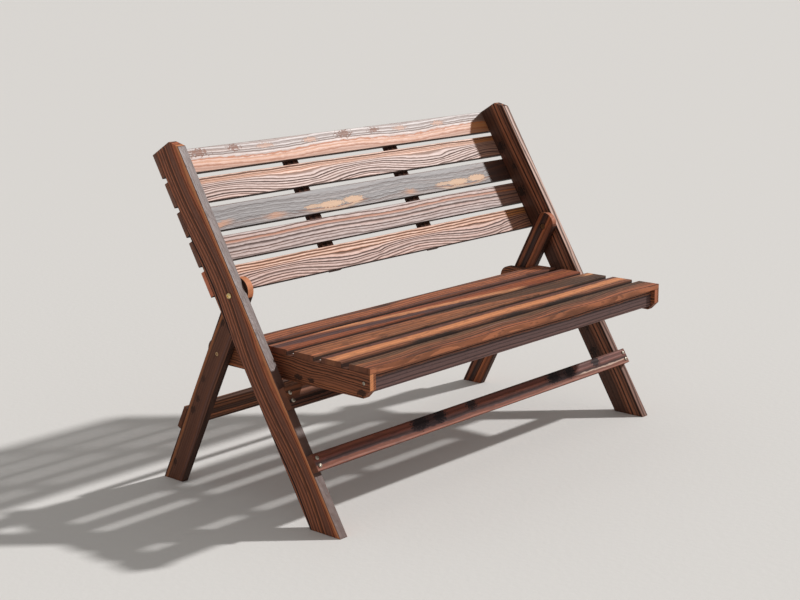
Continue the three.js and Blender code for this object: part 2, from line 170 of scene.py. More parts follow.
class Graph:
    """A material's node tree, built from Python expressions."""

    def __init__(self, name: str) -> None:
        """Makes an empty material of this name."""
        self.material = bpy.data.materials.new(name)
        self.material.use_nodes = True
        self.tree = self.material.node_tree
        self.tree.nodes.clear()

    def node(
        self,
        kind: str,
        settings: dict[str, object] | None = None,
        inputs: dict[str | int, object] | None = None,
    ) -> bpy.types.Node:
        """Adds one node.

        Args:
            kind: The node's type name.
            settings: What is set on the node itself, before its sockets.
            inputs: A value, a Value or a socket to link, for each input by its name or number.

        Returns:
            The new node.
        """
        made = self.tree.nodes.new(kind)
        for name, value in (settings or {}).items():
            setattr(made, name, value)
        for key, value in (inputs or {}).items():
            if isinstance(value, Value):
                self.tree.links.new(value.socket, made.inputs[key])
            elif isinstance(value, bpy.types.NodeSocket):
                self.tree.links.new(value, made.inputs[key])
            else:
                made.inputs[key].default_value = value
        return made

    def math(self, operation: str, *values: Value | float) -> Value:
        """Adds a Math node with these inputs in order and gives its result."""
        made = self.node("ShaderNodeMath", {"operation": operation}, dict(enumerate(values)))
        return Value(self, made.outputs["Value"])

    def mix(
        self, share: Value | float, first: object, second: object, blend: str = "MIX"
    ) -> bpy.types.NodeSocket:
        """Mixes two colours.

        Args:
            share: How much of the second colour shows, from 0 to 1.
            first: The first colour or its socket.
            second: The second colour or its socket.
            blend: The node's blend type.

        Returns:
            The mixed colour's socket.
        """
        made = self.node(
            "ShaderNodeMix",
            {"data_type": "RGBA", "blend_type": blend, "clamp_factor": True},
            {0: share, 6: first, 7: second},
        )
        return made.outputs[2]

    def vector(self, x: Value | float, y: Value | float, z: Value | float) -> bpy.types.NodeSocket:
        """Joins three numbers into a vector socket."""
        return self.node("ShaderNodeCombineXYZ", None, {0: x, 1: y, 2: z}).outputs[0]

    def place(self, **mapping: object) -> bpy.types.NodeSocket:
        """Gives the place on the object, changed by a Mapping node with these inputs."""
        place = self.node("ShaderNodeTexCoord").outputs["Object"]
        return self.node("ShaderNodeMapping", None, {"Vector": place, **mapping}).outputs[0]

    def parts(self, vector: bpy.types.NodeSocket) -> tuple[Value, ...]:
        """Takes a vector socket apart into its three numbers."""
        made = self.node("ShaderNodeSeparateXYZ", None, {0: vector})
        return tuple(Value(self, socket) for socket in made.outputs)

    def noise(self, place: bpy.types.NodeSocket, detail: float = 2.0) -> Value:
        """Adds a smooth noise of scale 1.

        Args:
            place: The vector at which the noise is read.
            detail: How many finer layers are added.

        Returns:
            The noise, about 0.5 on average.
        """
        made = self.node(
            "ShaderNodeTexNoise",
            {"noise_dimensions": "3D"},
            {"Vector": place, "Scale": 1.0, "Detail": detail, "Roughness": 0.5},
        )
        return Value(self, made.outputs[0])

    def chance(self, number: Value) -> Value:
        """Gives each whole number its own random value from 0 to 1."""
        made = self.node("ShaderNodeTexWhiteNoise", {"noise_dimensions": "1D"}, {"W": number})
        return Value(self, made.outputs["Value"])

    def surface(
        self,
        colour: object,
        roughness: Value | float,
        height: Value,
        depth: float,
        fixed: dict[str, float],
    ) -> bpy.types.Material:
        """Ends the graph in a Principled shader with a bump.

        Args:
            colour: The base colour or its socket.
            roughness: The roughness or its value over the surface.
            height: The relief, about 0 to 1.
            depth: What a height of 1 is, in metres.
            fixed: Sockets that are the same all over, such as Metallic.

        Returns:
            The finished material.
        """
        bump = self.node(
            "ShaderNodeBump", None, {"Strength": 1.0, "Distance": depth, "Height": height}
        )
        inputs = {"Base Color": colour, "Roughness": roughness, "Normal": bump.outputs["Normal"]}
        shader = self.node("ShaderNodeBsdfPrincipled", None, {**inputs, **fixed})
        self.node("ShaderNodeOutputMaterial", None, {"Surface": shader.outputs[0]})
        return self.material


# Finishes


@dataclass(frozen=True)
class Tint:
    """A colour in 8-bit steps, as it is read off a colour card."""

    red: int
    green: int
    blue: int

    def linear(self) -> tuple[float, float, float, float]:
        """Works out the colour for a shader socket, by the sRGB standard's curve.

        Returns:
            The linear red, green and blue with a full alpha.
        """
        steps = [step / 255 for step in (self.red, self.green, self.blue)]
        red, green, blue = (
            step / 12.92 if step <= 0.04045 else ((step + 0.055) / 1.055) ** 2.4 for step in steps
        )
        return red, green, blue, 1.0


@dataclass(frozen=True)
class Lay:
    """How a board's grain lies: the board's middle, its length and its width.

    The half sizes are measured along, across and through the board.
    """

    middle: Vector
    along: Vector
    across: Vector
    half: Vector

    def turn(self) -> Matrix:
        """Gives the rotation from the bench's directions to the board's own."""
        return Matrix((self.along, self.across, self.along.cross(self.across)))


class Face(Enum):
    """A face of a board: the board's axis that it crosses, and on which side."""

    START = (0, -1.0)
    END = (0, 1.0)
    LOWER = (1, -1.0)
    UPPER = (1, 1.0)


@dataclass(frozen=True)
class Skin:
    """A face's thin layer of colour and gloss: burnt or brushed wood, painted shade, painted light.

    Calm says how much of the growth rings it hides. Where under is given, the layer covers only
    what lies below that place through the board, and where until is given, only what lies before
    that place along it. Each of the three ends is soft over its own width.
    """

    face: Face
    tint: Tint
    strength: float = 0.85
    rough: float = 0.0
    calm: float = 0.0
    under: float | None = None
    depth: float = 0.0011
    until: float | None = None
    soft: tuple[float, float, float] = (0.0002, 0.0006, 0.02)

    def mask(self, place: tuple[Value, ...], half: Vector) -> Value:
        """Finds the layer.

        Args:
            place: The place along, across and through the board.
            half: The board's half sizes.

        Returns:
            Its mask from 0 to 1.
        """
        axis, side = self.face.value
        depth_soft, under_soft, until_soft = self.soft
        mask = (place[axis] * side).edge(half[axis] - self.depth, depth_soft)
        if self.under is not None:
            mask = mask * place[2].edge(self.under, -under_soft)
        if self.until is not None:
            mask = mask * place[0].edge(self.until, -until_soft)
        return mask


@dataclass(frozen=True)
class Swell:
    """A long, even wave in the grain.

    Its crests are a length apart and one is at the place. Across the board the wave grows from
    nothing where the grain is still to its height where it is full.
    """

    height: float
    place: float
    still: float = 1.0
    full: float = 1.0
    length: float = GRAIN_REPEAT

    def lift(self, along: Value, across: Value) -> Value:
        """Works out how far the wave moves the grain across, at a place in the board."""
        lift = ((along - self.place) * (math.tau / self.length)).cosine() * self.height
        return lift if self.still == self.full else lift * across.ramp(self.still, self.full)


@dataclass(frozen=True)
class Band:
    """A lengthwise stripe of another colour in a board.

    The middle and the half width are measured across the board from its middle line, at half its
    length. The slant is how far the stripe moves across for each metre along. Where start and end
    are given, the stripe runs only between these places along the board and fades in and out over
    twice the fade. Calm says how much of the growth rings it hides, and rough how much duller it
    is than the wood round it.
    """

    middle: float
    half: float
    tint: Tint
    strength: float = 1.0
    soft: float = 0.003
    calm: float = 0.0
    ragged: float = 0.0012
    start: float | None = None
    end: float | None = None
    slant: float = 0.0
    rough: float = 0.0
    fade: float = 0.03

    def again(self, shift: float) -> Band:
        """Gives the same stripe further along the board."""
        return replace(self, start=self.start + shift, end=self.end + shift)

    def mask(self, along: Value, across: Value, fray: Value) -> Value:
        """Draws the stripe.

        Args:
            along: The bent place along the board.
            across: The bent place across the board.
            fray: The noise that frays its edges.

        Returns:
            Its mask from 0 to 1.
        """
        if self.slant:
            across = across - along * self.slant
        away = abs(across + fray.either_way(self.ragged) - self.middle)
        mask = away.edge(self.half, -self.soft)
        if self.start is not None:
            mask = mask * along.edge(self.start, self.fade)
        if self.end is not None:
            mask = mask * along.edge(self.end, -self.fade)
        return mask


@dataclass(frozen=True)
class Knot:
    """A knot, by its place along and across the board and its radius.

    The push is how far it bends the grain round it, the fall how soon that bend dies away, and
    ragged is how torn its outline is.
    """

    along: float
    across: float
    radius: float
    strength: float = 0.9
    stretch: float = 1.6
    push: float = 0.004
    tint: Tint = Tint(34, 21, 16)
    ragged: float = 2.2
    fall: float = 0.22

    def again(self, shift: float) -> Knot:
        """Gives the same knot further along the board."""
        return replace(self, along=self.along + shift)


def twice(*marks: Band | Knot, shift: float = GRAIN_REPEAT) -> tuple[Band | Knot, ...]:
    """Sets the same marks a second time, where the grain repeats.

    Args:
        marks: Stripes with a start and an end, or knots.
        shift: How far along the board the second ones lie.

    Returns:
        The marks and their repeats.
    """
    return (*marks, *(mark.again(shift) for mark in marks))


@dataclass(frozen=True)
class Pattern:
    """A noise in the wood: its steps for a metre along and for a metre across, and its detail.

    The shift keeps it apart from the board's other noises.
    """

    along: float
    across: float
    shift: float
    detail: float


@dataclass(frozen=True)
class Rise:
    """A smooth climb from low, where nothing shows, to high, where the full strength does."""

    low: float
    high: float
    strength: float = 1.0

    def of(self, noise: Value) -> Value:
        """Reads how much shows off a noise or a distance."""
        shown = noise.ramp(self.low, self.high)
        return shown if self.strength == 1.0 else shown * self.strength


GLOWING_STREAKS, GLOWING_RINGS = Rise(0.52, 0.68, 0.7), Rise(0.6, 0.85, 0.6)
SMOKY_PATCHES, SMOKY_STREAKS = Rise(0.5, 0.68, 0.6), Rise(0.48, 0.3, 0.7)
FLECKS, RING_END = Rise(0.55, 0.66), Rise(1.0, 0.94)
KNOT_RIM, KNOT_HALO = Rise(1.15, 0.8), Rise(2.4, 2.2)
STAINS = Rise(0.52, 0.72, 0.7)
MIDDLING = Pattern(1 / 0.075, 1 / 0.03, 5.3, 1.0)
QUICK = Pattern(1 / 0.022, 1 / 0.007, 3.7, 3.0)
FIBRE = Pattern(9.0, 620.0, 7.1, 3.0)
PATCH = Pattern(3.2, 30.0, 11.3, 3.0)
STREAK = Pattern(1.1, 75.0, 17.9, 2.0)
FRAY = Pattern(150.0, 240.0, 23.0, 3.0)
ENDS = tuple(Skin(face, Tint(104, 62, 44), 0.85, 0.2, 1.0) for face in (Face.START, Face.END))


@dataclass(frozen=True)
class Fir:
    """Oiled, heat-treated fir: dark brushed growth rings round a pith outside the board.

    The pith's place is measured across and through the board from its middle, and the drift is
    how far it moves that way for each metre along the board. The glow is the orange that shows
    between some rings, and the flecks are short dark dashes in the grain. Ring soft is how far a
    ring's dark line fades in before and after its sharp place, and ring share the least of it and
    what chance adds. Shade is the least brightness and what the fibre and the rings add. Dull is
    how much rougher the lines and the knots are. Deep is how far down the lines, flecks and knots
    lie, and fuzz how far the fibre and the ripples lift the surface, as shares of the relief.
    """

    early: Tint = Tint(140, 84, 54)
    late: Tint = Tint(42, 25, 18)
    smoke: Tint = Tint(62, 42, 37)
    glow: Tint = Tint(190, 112, 62)
    glowing: float = 0.35
    pitch: float = 0.0085
    spread: float = 0.7
    pith: tuple[float, float] = (0.2, 0.12)
    drift: tuple[float, float] = (0.0, 0.0)
    wander: float = 0.004
    wander_length: float = 0.3
    sway: float = 0.0012
    ripple: float = 0.0005
    contrast: float = 0.92
    sharp: float = 0.4
    smoky: float = 0.3
    flecked: float = 0.3
    fleck_size: tuple[float, float] = (0.055, 0.0024)
    relief: float = 0.0005
    rough: float = 0.5
    shine: float = 0.5
    bands: tuple[Band, ...] = ()
    skins: tuple[Skin, ...] = ENDS
    knots: tuple[Knot, ...] = ()
    swell: Swell | None = None
    seed: float = 0.0
    ring_soft: tuple[float, float] = (0.12, 0.34)
    ring_share: tuple[float, float] = (0.45, 0.55)
    shade: tuple[float, float, float] = (0.82, 0.22, 0.14)
    dull: tuple[float, float] = (0.34, 0.2)
    deep: tuple[float, float, float] = (0.9, 0.3, 0.5)
    fuzz: tuple[float, float] = (0.06, 0.25)
    gloss_waver: float = 0.05
    band_waver: float = 0.025

    def material(self, name: str, lay: Lay) -> bpy.types.Material:
        """Builds the wood for one board.

        Args:
            name: The material's name.
            lay: How the grain lies in the board.

        Returns:
            The material.
        """
        graph = Graph(name)
        turn = lay.turn()
        place = graph.parts(
            graph.place(Location=-(turn @ lay.middle), Rotation=turn.to_euler("XYZ"))
        )
        along, across, through = place
        knots, push, knotted = self._knots(graph, along, across)
        slow = self._noise(graph, place, Pattern(1 / self.wander_length, 9.0, 0.0, 2.0))
        middling = self._noise(graph, place, MIDDLING)
        quick = self._noise(graph, place, QUICK)
        wave = slow.either_way(self.wander) + middling.either_way(self.sway)
        if self.swell is not None:
            wave = wave - self.swell.lift(along, across)
        side = across + wave + push + quick.either_way(self.ripple)
        line, ring = self._rings(graph, along, side, through + wave * 0.5)
        fibre = self._noise(graph, place, FIBRE)
        patch = self._noise(graph, place, PATCH)
        bent = (along, side, through)
        streak = self._noise(graph, bent, STREAK)
        long, wide = self.fleck_size
        fleck = self._noise(graph, bent, Pattern(1 / long, 1 / wide, 29.0, 2.0))
        glow = (GLOWING_STREAKS.of(streak) + GLOWING_RINGS.of(ring)) * self.glowing
        smoke = (SMOKY_PATCHES.of(patch) + SMOKY_STREAKS.of(streak)) * self.smoky
        colour = graph.mix(glow, self.early.linear(), self.glow.linear())
        colour = graph.mix(smoke, colour, self.smoke.linear())
        bent_along = along + middling.either_way(self.band_waver)
        marks = [(band, band.mask(bent_along, across + wave, quick)) for band in self.bands]
        marks += [(skin, skin.mask(place, lay.half)) for skin in self.skins]
        calm, rough = 1.0, self.rough + fibre.either_way(self.gloss_waver)
        for mark, mask in marks:
            colour = graph.mix(mask * mark.strength, colour, mark.tint.linear())
            if mark.calm:
                calm = calm * (1.0 - mask * mark.calm)
            if mark.rough:
                rough = rough + mask * mark.rough
        dark = line * self.contrast * calm
        dash = FLECKS.of(fleck) * (self.flecked * (1.0 - 0.5 * (1.0 - calm)))
        colour = graph.mix(dark.greatest(dash), colour, self.late.linear())
        lift = self.shade[0] + fibre * self.shade[1] + ring * self.shade[2]
        colour = graph.mix(1.0, colour, graph.vector(lift, lift, lift), "MULTIPLY")
        if self.knots:
            colour = graph.mix(knots, colour, knotted)
        height = 1.0 - line * calm * self.deep[0] - dash * self.deep[1]
        height = height + fibre.either_way(self.fuzz[0]) + quick.either_way(self.fuzz[1])
        return graph.surface(
            colour,
            rough + dark * self.dull[0] + knots * self.dull[1],
            height - knots * self.deep[2],
            self.relief,
            {"Specular IOR Level": self.shine},
        )

    def _noise(
        self, graph: Graph, place: tuple[Value, Value, Value | float], pattern: Pattern
    ) -> Value:
        """Reads a noise of this board's own.

        Args:
            graph: The board's graph.
            place: The place along, across and through the board.
            pattern: The noise.

        Returns:
            The noise.
        """
        along, across, through = place
        spot = graph.vector(
            along * pattern.along + (self.seed + pattern.shift),
            across * pattern.across,
            through * pattern.across,
        )
        return graph.noise(spot, pattern.detail)

    def _rings(
        self, graph: Graph, along: Value, side: Value, through: Value
    ) -> tuple[Value, Value]:
        """Draws the growth rings.

        Args:
            graph: The board's graph.
            along: The place along the board.
            side: The bent place across the board.
            through: The bent place through the board.

        Returns:
            The dark lines from 0 to 1, and each ring's own random value.
        """
        across = side - along * self.drift[0] - self.pith[0]
        depth = through - along * self.drift[1] - self.pith[1]
        even = (across * across + depth * depth).root() / self.pitch
        uneven = graph.noise(graph.vector(even * 0.55, self.seed, 0.0), 1.0)
        count = even + uneven.either_way(self.spread)
        part = count.fraction()
        chance = graph.chance(count.floor() + self.seed)
        before, after = self.ring_soft
        line = part.ramp(self.sharp - before, self.sharp + after) * RING_END.of(part)
        least, more = self.ring_share
        return line * (least + chance * more), graph.chance(count.floor() + (self.seed + 0.5))

    def _knots(
        self, graph: Graph, along: Value, across: Value
    ) -> tuple[Value | float, Value | float, object]:
        """Draws the knots and the bend of the grain round them.

        Args:
            graph: The board's graph.
            along: The place along the board.
            across: The place across the board.

        Returns:
            The knots' mask from 0 to 1, how far the grain is pushed across, and their colour.
        """
        mask, push, tint = 0.0, 0.0, self.late.linear()
        frayed = self._noise(graph, (along, across, 0.0), FRAY)
        for knot in self.knots:
            x = (along - knot.along) / (knot.radius * knot.stretch)
            y = (across - knot.across) / knot.radius
            away = (x * x + y * y).root()
            shown = KNOT_RIM.of(away + frayed.either_way(knot.ragged / 2)) * knot.strength
            tint = graph.mix(KNOT_HALO.of(away), tint, knot.tint.linear())
            mask = shown.greatest(mask)
            bend = ((away * away) * -knot.fall).exponential() * y
            push = push + bend * (knot.push / 2)
        return mask, push, tint


@dataclass(frozen=True)
class Metal:
    """A plated steel fastener, satin, with faint marks from the driver and the weather.

    Spots and grit are the steps of its two noises for each metre. Where shaded_within is given,
    the metal nearer to the bench's middle than that is dull and brown, painted shade of the pocket
    that it sits in. Dull is how much rougher its stains and its painted shade are.
    """

    tint: Tint
    stain: Tint
    rough: float = 0.34
    seed: float = 0.0
    shaded_within: float | None = None
    pocket_shade: Tint = Tint(92, 66, 46)
    shaded_within_soft: float = 0.0005
    spots: float = 420.0
    grit: float = 2600.0
    gloss_waver: float = 0.06
    dull: tuple[float, float] = (0.22, 0.2)
    relief: float = 0.00002

    def material(self, name: str) -> bpy.types.Material:
        """Builds the metal.

        Args:
            name: The material's name.

        Returns:
            The material.
        """
        graph = Graph(name)
        spots = graph.place(Location=(self.seed, 0.0, 0.0), Scale=(self.spots,) * 3)
        grits = graph.place(Location=(0.0, self.seed, 0.0), Scale=(self.grit,) * 3)
        grit = graph.noise(grits)
        stain = STAINS.of(graph.noise(spots, 3.0))
        colour = graph.mix(stain, self.tint.linear(), self.stain.linear())
        rough = self.rough + stain * self.dull[0] + grit.either_way(self.gloss_waver)
        if self.shaded_within is not None:
            inner = abs(graph.parts(graph.place())[0]).edge(self.shaded_within, -self.shaded_within_soft)
            colour = graph.mix(inner, colour, self.pocket_shade.linear())
            rough = rough + inner * self.dull[1]
        return graph.surface(colour, rough, grit, self.relief, {"Metallic": 1.0})


class Plating(Enum):
    """The bench's platings, and a dull brown that paints the shade in the nuts' pockets."""

    # Painted shade: the brass bolts are dull brown within 0.562 m of the middle, in the nut
    # pockets.
    BRASS = Metal(Tint(244, 220, 160), Tint(176, 140, 92), 0.27, 0.0, 0.562)
    AGED = Metal(Tint(186, 152, 116), Tint(120, 88, 62), 0.42, 6.0)
    BROWNED = Metal(Tint(112, 84, 60), Tint(70, 50, 38), 0.5, 2.0)
    ZINC = Metal(Tint(182, 172, 158), Tint(112, 98, 82), 0.4, 4.0)


# Modelling


class Tilt(Enum):
    """How the bench's three groups of boards stand, as a turn about the long axis in degrees."""

    LEVEL = 0.0
    UPRIGHT = -31.0
    LEG = 27.0

    def turn(self) -> Matrix:
        """Gives the rotation from the group's directions to the bench's."""
        return Matrix.Rotation(math.radians(self.value), 4, "X")


class Run(Enum):
    """Which way a board's length and width run in its group."""

    ACROSS_STANDING = ("X", "Z")
    ACROSS_LYING = ("X", "Y")
    UP = ("Z", "Y")
    FRONT_TO_REAR = ("Y", "Z")

    def lay(self, low: Vector, high: Vector, tilt: Tilt) -> Lay:
        """Says how the grain of a board in this run lies.

        Args:
            low: The board's lowest corner in its group's directions.
            high: The board's highest corner in its group's directions.
            tilt: The board's group.

        Returns:
            The lay in the bench's directions.
        """
        axes = {"X": Vector((1, 0, 0)), "Y": Vector((0, 1, 0)), "Z": Vector((0, 0, 1))}
        turn = tilt.turn()
        along, across = (axes[name] for name in self.value)
        half = [abs((high - low).dot(way)) / 2 for way in (along, across, along.cross(across))]
        return Lay(turn @ ((low + high) / 2), turn @ along, turn @ across, Vector(half))


class Facing(Enum):
    """Where a fastener's head points in its group."""

    FRONT = (0, -1, 0)
    REAR = (0, 1, 0)
    LEFT = (-1, 0, 0)
    RIGHT = (1, 0, 0)
    DOWN = (0, 0, -1)

    def turn(self) -> Matrix:
        """Gives the rotation that points an upright fastener's head this way."""
        return Vector((0, 0, 1)).rotation_difference(Vector(self.value)).to_matrix().to_4x4()

    def length(self, low: Vector, high: Vector) -> float:
        """Measures a box this way, from its lowest and highest corner."""
        return abs((high - low).dot(Vector(self.value)))


SIDES = {"left": Facing.LEFT, "right": Facing.RIGHT}


class Workbench:
    """The modelling steps that the bench's pieces share."""

    BOARD_ANGLE = 40.0
    METAL_ANGLE = 32.0
    EASED_ANGLE = 30.0
    EASED_FACETS = 3
    ALONG_BENCH = 0.999
    FACING_UP = 0.9
    CUTTER_START = 0.01

    @staticmethod
    def activate(piece: bpy.types.Object) -> None:
        """Makes one piece the only selected one."""
        bpy.ops.object.select_all(action="DESELECT")
        piece.select_set(True)
        bpy.context.view_layer.objects.active = piece

    @staticmethod
    def block(name: str, low: Vector, high: Vector) -> bpy.types.Object:
        """Adds a plain block.

        Args:
            name: The piece's name.
            low: Its lowest corner.
            high: Its highest corner.

        Returns:
            The piece, with its place in its mesh.
        """
        bpy.ops.object.select_all(action="DESELECT")
        bpy.ops.mesh.primitive_cube_add(size=1.0, location=(low + high) / 2, scale=high - low)
        return Workbench.named(name)

    @staticmethod
    def rod(name: str, radius: float, low: float, high: float, sides: int) -> bpy.types.Object:
        """Adds a plain upright rod over the origin.

        Args:
            name: The piece's name.
            radius: The rod's radius.
            low: The height of its lower end.
            high: The height of its upper end.
            sides: How many sides it has.

        Returns:
            The piece, with its place in its mesh.
        """
        bpy.ops.object.select_all(action="DESELECT")
        bpy.ops.mesh.primitive_cylinder_add(
            vertices=sides, radius=radius, depth=high - low, location=(0, 0, (low + high) / 2)
        )
        return Workbench.named(name)

    @staticmethod
    def named(name: str) -> bpy.types.Object:
        """Names the new primitive and moves its place into its mesh."""
        piece = bpy.context.active_object
        piece.name = piece.data.name = name
        bpy.ops.object.transform_apply(location=True, rotation=True, scale=True)
        return piece

    @staticmethod
    def cutter(
        radius: float, depth: float, way: float, face: Vector, sides: int = 32
    ) -> bpy.types.Object:
        """Adds a round cutter that runs across the bench, from a little outside a face.

        Args:
            radius: The hole's radius.
            depth: How far it goes in.
            way: 1 if it runs to the right, and -1 if to the left.
            face: Where it enters.
            sides: How many sides it has.

        Returns:
            The cutter.
        """
        made = Workbench.rod("cutter", radius, -Workbench.CUTTER_START, depth, sides)
        turn = Matrix.Rotation(math.radians(90 * way), 4, "Y")
        made.data.transform(Matrix.Translation(face) @ turn)
        return made

    @staticmethod
    def trim(piece: bpy.types.Object, point: Vector, normal: Vector) -> None:
        """Saws off what lies beyond a plane.

        Args:
            piece: The piece.
            point: A point of the plane.
            normal: The plane's normal, which points at the waste.
        """
        Workbench.activate(piece)
        bpy.ops.object.mode_set(mode="EDIT")
        bpy.ops.mesh.select_all(action="SELECT")
        bpy.ops.mesh.bisect(plane_co=point, plane_no=normal, use_fill=True, clear_outer=True)
        bpy.ops.object.mode_set(mode="OBJECT")

    @staticmethod
    def choose(piece: bpy.types.Object, kind: str, wanted: Callable[[object], bool]) -> None:
        """Opens a piece for editing with only some of its edges or faces selected.

        Args:
            piece: The piece.
            kind: EDGE or FACE.
            wanted: Says whether an edge or a face is wanted.
        """
        Workbench.activate(piece)
        bpy.ops.object.mode_set(mode="EDIT")
        bpy.ops.mesh.select_mode(type=kind)
        bpy.ops.mesh.select_all(action="DESELECT")
        bpy.ops.object.mode_set(mode="OBJECT")
        for part in piece.data.edges if kind == "EDGE" else piece.data.polygons:
            part.select = wanted(part)
        bpy.ops.object.mode_set(mode="EDIT")

    @staticmethod
    def cut_edges(
        piece: bpy.types.Object, width: float, steps: int, wanted: Callable[[Vector], bool]
    ) -> None:
        """Chamfers or rounds the edges that run across the bench and lie where they are wanted.

        Args:
            piece: The piece.
            width: How much of each neighbouring face goes.
            steps: One for a chamfer, more for a round.
            wanted: Says whether an edge goes, by its middle.
        """

        def chosen(edge: bpy.types.MeshEdge) -> bool:
            """Says whether one edge goes."""
            first, second = (piece.data.vertices[index].co for index in edge.vertices)
            lengthwise = abs((first - second).normalized().x) > Workbench.ALONG_BENCH
            return lengthwise and wanted((first + second) / 2)

        Workbench.choose(piece, "EDGE", chosen)
        bpy.ops.mesh.bevel(offset=width, segments=steps, affect="EDGES", clamp_overlap=True)
        bpy.ops.mesh.select_all(action="SELECT")
        bpy.ops.mesh.remove_doubles(threshold=LEAST)
        bpy.ops.object.mode_set(mode="OBJECT")

    @staticmethod
    def ease(piece: bpy.types.Object, width: float) -> None:
        """Rounds all sharp edges a little.

        Args:
            piece: The piece.
            width: How much of each neighbouring face goes.
        """
        Workbench.activate(piece)
        bevel = piece.modifiers.new("eased edges", "BEVEL")
        bevel.width = width
        bevel.segments = Workbench.EASED_FACETS
        bevel.limit_method = "ANGLE"
        bevel.angle_limit = math.radians(Workbench.EASED_ANGLE)
        bpy.ops.object.modifier_apply(modifier=bevel.name)

    @staticmethod
    def bore(piece: bpy.types.Object, cutter: bpy.types.Object) -> None:
        """Takes a cutter's shape out of a piece, and the cutter away.

        Args:
            piece: The piece.
            cutter: The cutter.
        """
        Workbench.activate(piece)
        boolean = piece.modifiers.new("bore", "BOOLEAN")
        boolean.operation = "DIFFERENCE"
        boolean.solver = "EXACT"
        boolean.object = cutter
        bpy.ops.object.modifier_apply(modifier=boolean.name)
        bpy.data.objects.remove(cutter)

    @staticmethod
    def smooth(piece: bpy.types.Object, degrees: float) -> None:
        """Shades a piece smooth but keeps its flats flat.

        Args:
            piece: The piece.
            degrees: Sharper edges than this stay sharp.
        """
        Workbench.activate(piece)
        bpy.ops.object.shade_smooth_by_angle(angle=math.radians(degrees))
        weighted = piece.modifiers.new("flat faces", "WEIGHTED_NORMAL")
        weighted.keep_sharp = True
        bpy.ops.object.modifier_apply(modifier=weighted.name)

    @staticmethod
    def copy(piece: bpy.types.Object, name: str, place: Matrix) -> bpy.types.Object:
        """Copies a piece with a mesh of its own.

        Args:
            piece: The piece.
            name: The copy's name.
            place: The copy's place, which goes into its mesh.

        Returns:
            The copy.
        """
        made = piece.copy()
        made.data = piece.data.copy()
        made.name = made.data.name = name
        made.data.transform(place)
        bpy.context.scene.collection.objects.link(made)
        return made


class Recess(Enum):
    """The drive of a screw or bolt."""

    HEX = "hex"
    CROSS = "cross"


@dataclass(frozen=True)
class Fastener:
    """A screw or bolt with a domed or countersunk head, modelled once, head up at the origin.

    The head's seat is at the origin, and a countersunk head lies below it.
    """

    name: str
    radius: float
    head_radius: float
    head_height: float
    drive: Recess
    drive_size: float
    drive_depth: float
    sunk: bool = False
    sides: int = 24
    sunk_rim: float = 0.0003
    dome_rim: float = 0.22
    dome_rings: int = 6
    dome_angle: float = math.radians(72.0)
    drive_turn: float = 20.0
    slit: float = 0.16
    beyond: float = 0.002

    def above(self) -> float:
        """Gives how far the head stands over its seat."""
        return 0.0 if self.sunk else self.head_height

    def build(self, length: float) -> bpy.types.Object:
        """Models the fastener.

        Args:
            length: From the head's seat to the tip, or from a countersunk head's top to the tip.

        Returns:
            The piece.
        """
        piece = Workbench.rod(self.name, self.radius, -length, 0.0, self.sides)
        self._head(piece)
        self._drive(piece)
        Workbench.smooth(piece, Workbench.METAL_ANGLE)
        return piece

    def _head(self, piece: bpy.types.Object) -> None:
        """Draws the head out of the shank's upper end.

        Args:
            piece: The shank.
        """
        Workbench.choose(piece, "FACE", lambda face: face.normal.z > Workbench.FACING_UP)
        if self.sunk:
            self._step(-self.head_height, 1.0, False)
            self._step(self.head_height - self.sunk_rim, self.head_radius / self.radius)
            self._step(self.sunk_rim)
        else:
            self._step(0.0, self.head_radius / self.radius)
            self._dome()
        bpy.ops.object.mode_set(mode="OBJECT")

    def _step(self, rise: float, scale: float = 1.0, extrude: bool = True) -> None:
        """Moves or extrudes the selected end face upwards and scales it.

        Args:
            rise: How far the face moves.
            scale: By how much it grows.
            extrude: Whether new sides are drawn with it.
        """
        move = Vector((0, 0, rise))
        if extrude:
            bpy.ops.mesh.extrude_region_move(TRANSFORM_OT_translate={"value": move})
        else:
            bpy.ops.transform.translate(value=move)
        bpy.ops.transform.resize(value=(scale, scale, 1.0))

    def _dome(self) -> None:
        """Draws the domed head up in rings, each a little smaller than the last."""
        rim = self.dome_rim * self.head_height
        self._step(rim)
        before, width = 0.0, 1.0
        for ring in range(1, self.dome_rings + 1):
            angle = self.dome_angle * ring / self.dome_rings
            height = math.sin(angle) / math.sin(self.dome_angle) * (self.head_height - rim)
            self._step(height - before, math.cos(angle) / width)
            before, width = height, math.cos(angle)

    def _drive(self, piece: bpy.types.Object) -> None:
        """Sinks the drive into the head.

        Args:
            piece: The fastener.
        """
        floor, top = self.above() - self.drive_depth, self.above() + self.beyond
        if self.drive is Recess.HEX:
            radius = self.drive_size / 2 / math.cos(math.pi / 6)
            Workbench.bore(piece, Workbench.rod("drive", radius, floor, top, 6))
            return
        half, slit = self.drive_size / 2, self.drive_size * self.slit
        for turn in (self.drive_turn, self.drive_turn + 90):
            low, high = Vector((-half, -slit, floor)), Vector((half, slit, top))
            cutter = Workbench.block("drive", low, high)
            cutter.data.transform(Matrix.Rotation(math.radians(turn), 4, "Z"))
            Workbench.bore(piece, cutter)


FRAME_BOLT = Fastener("frame_bolt", 0.004, 0.007, 0.0042, Recess.HEX, 0.005, 0.0024, sides=32)
SEAT_BOLT = Fastener(
    "seat_bolt", 0.003, 0.0048, 0.0033, Recess.HEX, 0.004, 0.0022, sunk=True, sides=32
)
FRONT_SCREW = Fastener("stretcher_screw", 0.0025, 0.005, 0.003, Recess.CROSS, 0.0056, 0.0016)
REAR_SCREW = Fastener("stretcher_screw", 0.0022, 0.0044, 0.0024, Recess.CROSS, 0.005, 0.0013)
SLAT_SCREW = replace(REAR_SCREW, name="slat_screw")
APRON_SCREW = Fastener("apron_screw", 0.002, 0.004, 0.0018, Recess.CROSS, 0.0045, 0.0011)
BATTEN_SCREW = Fastener(
    "batten_screw", 0.0017, 0.0036, 0.0018, Recess.CROSS, 0.0042, 0.001, sides=20
)


# The bench's groups


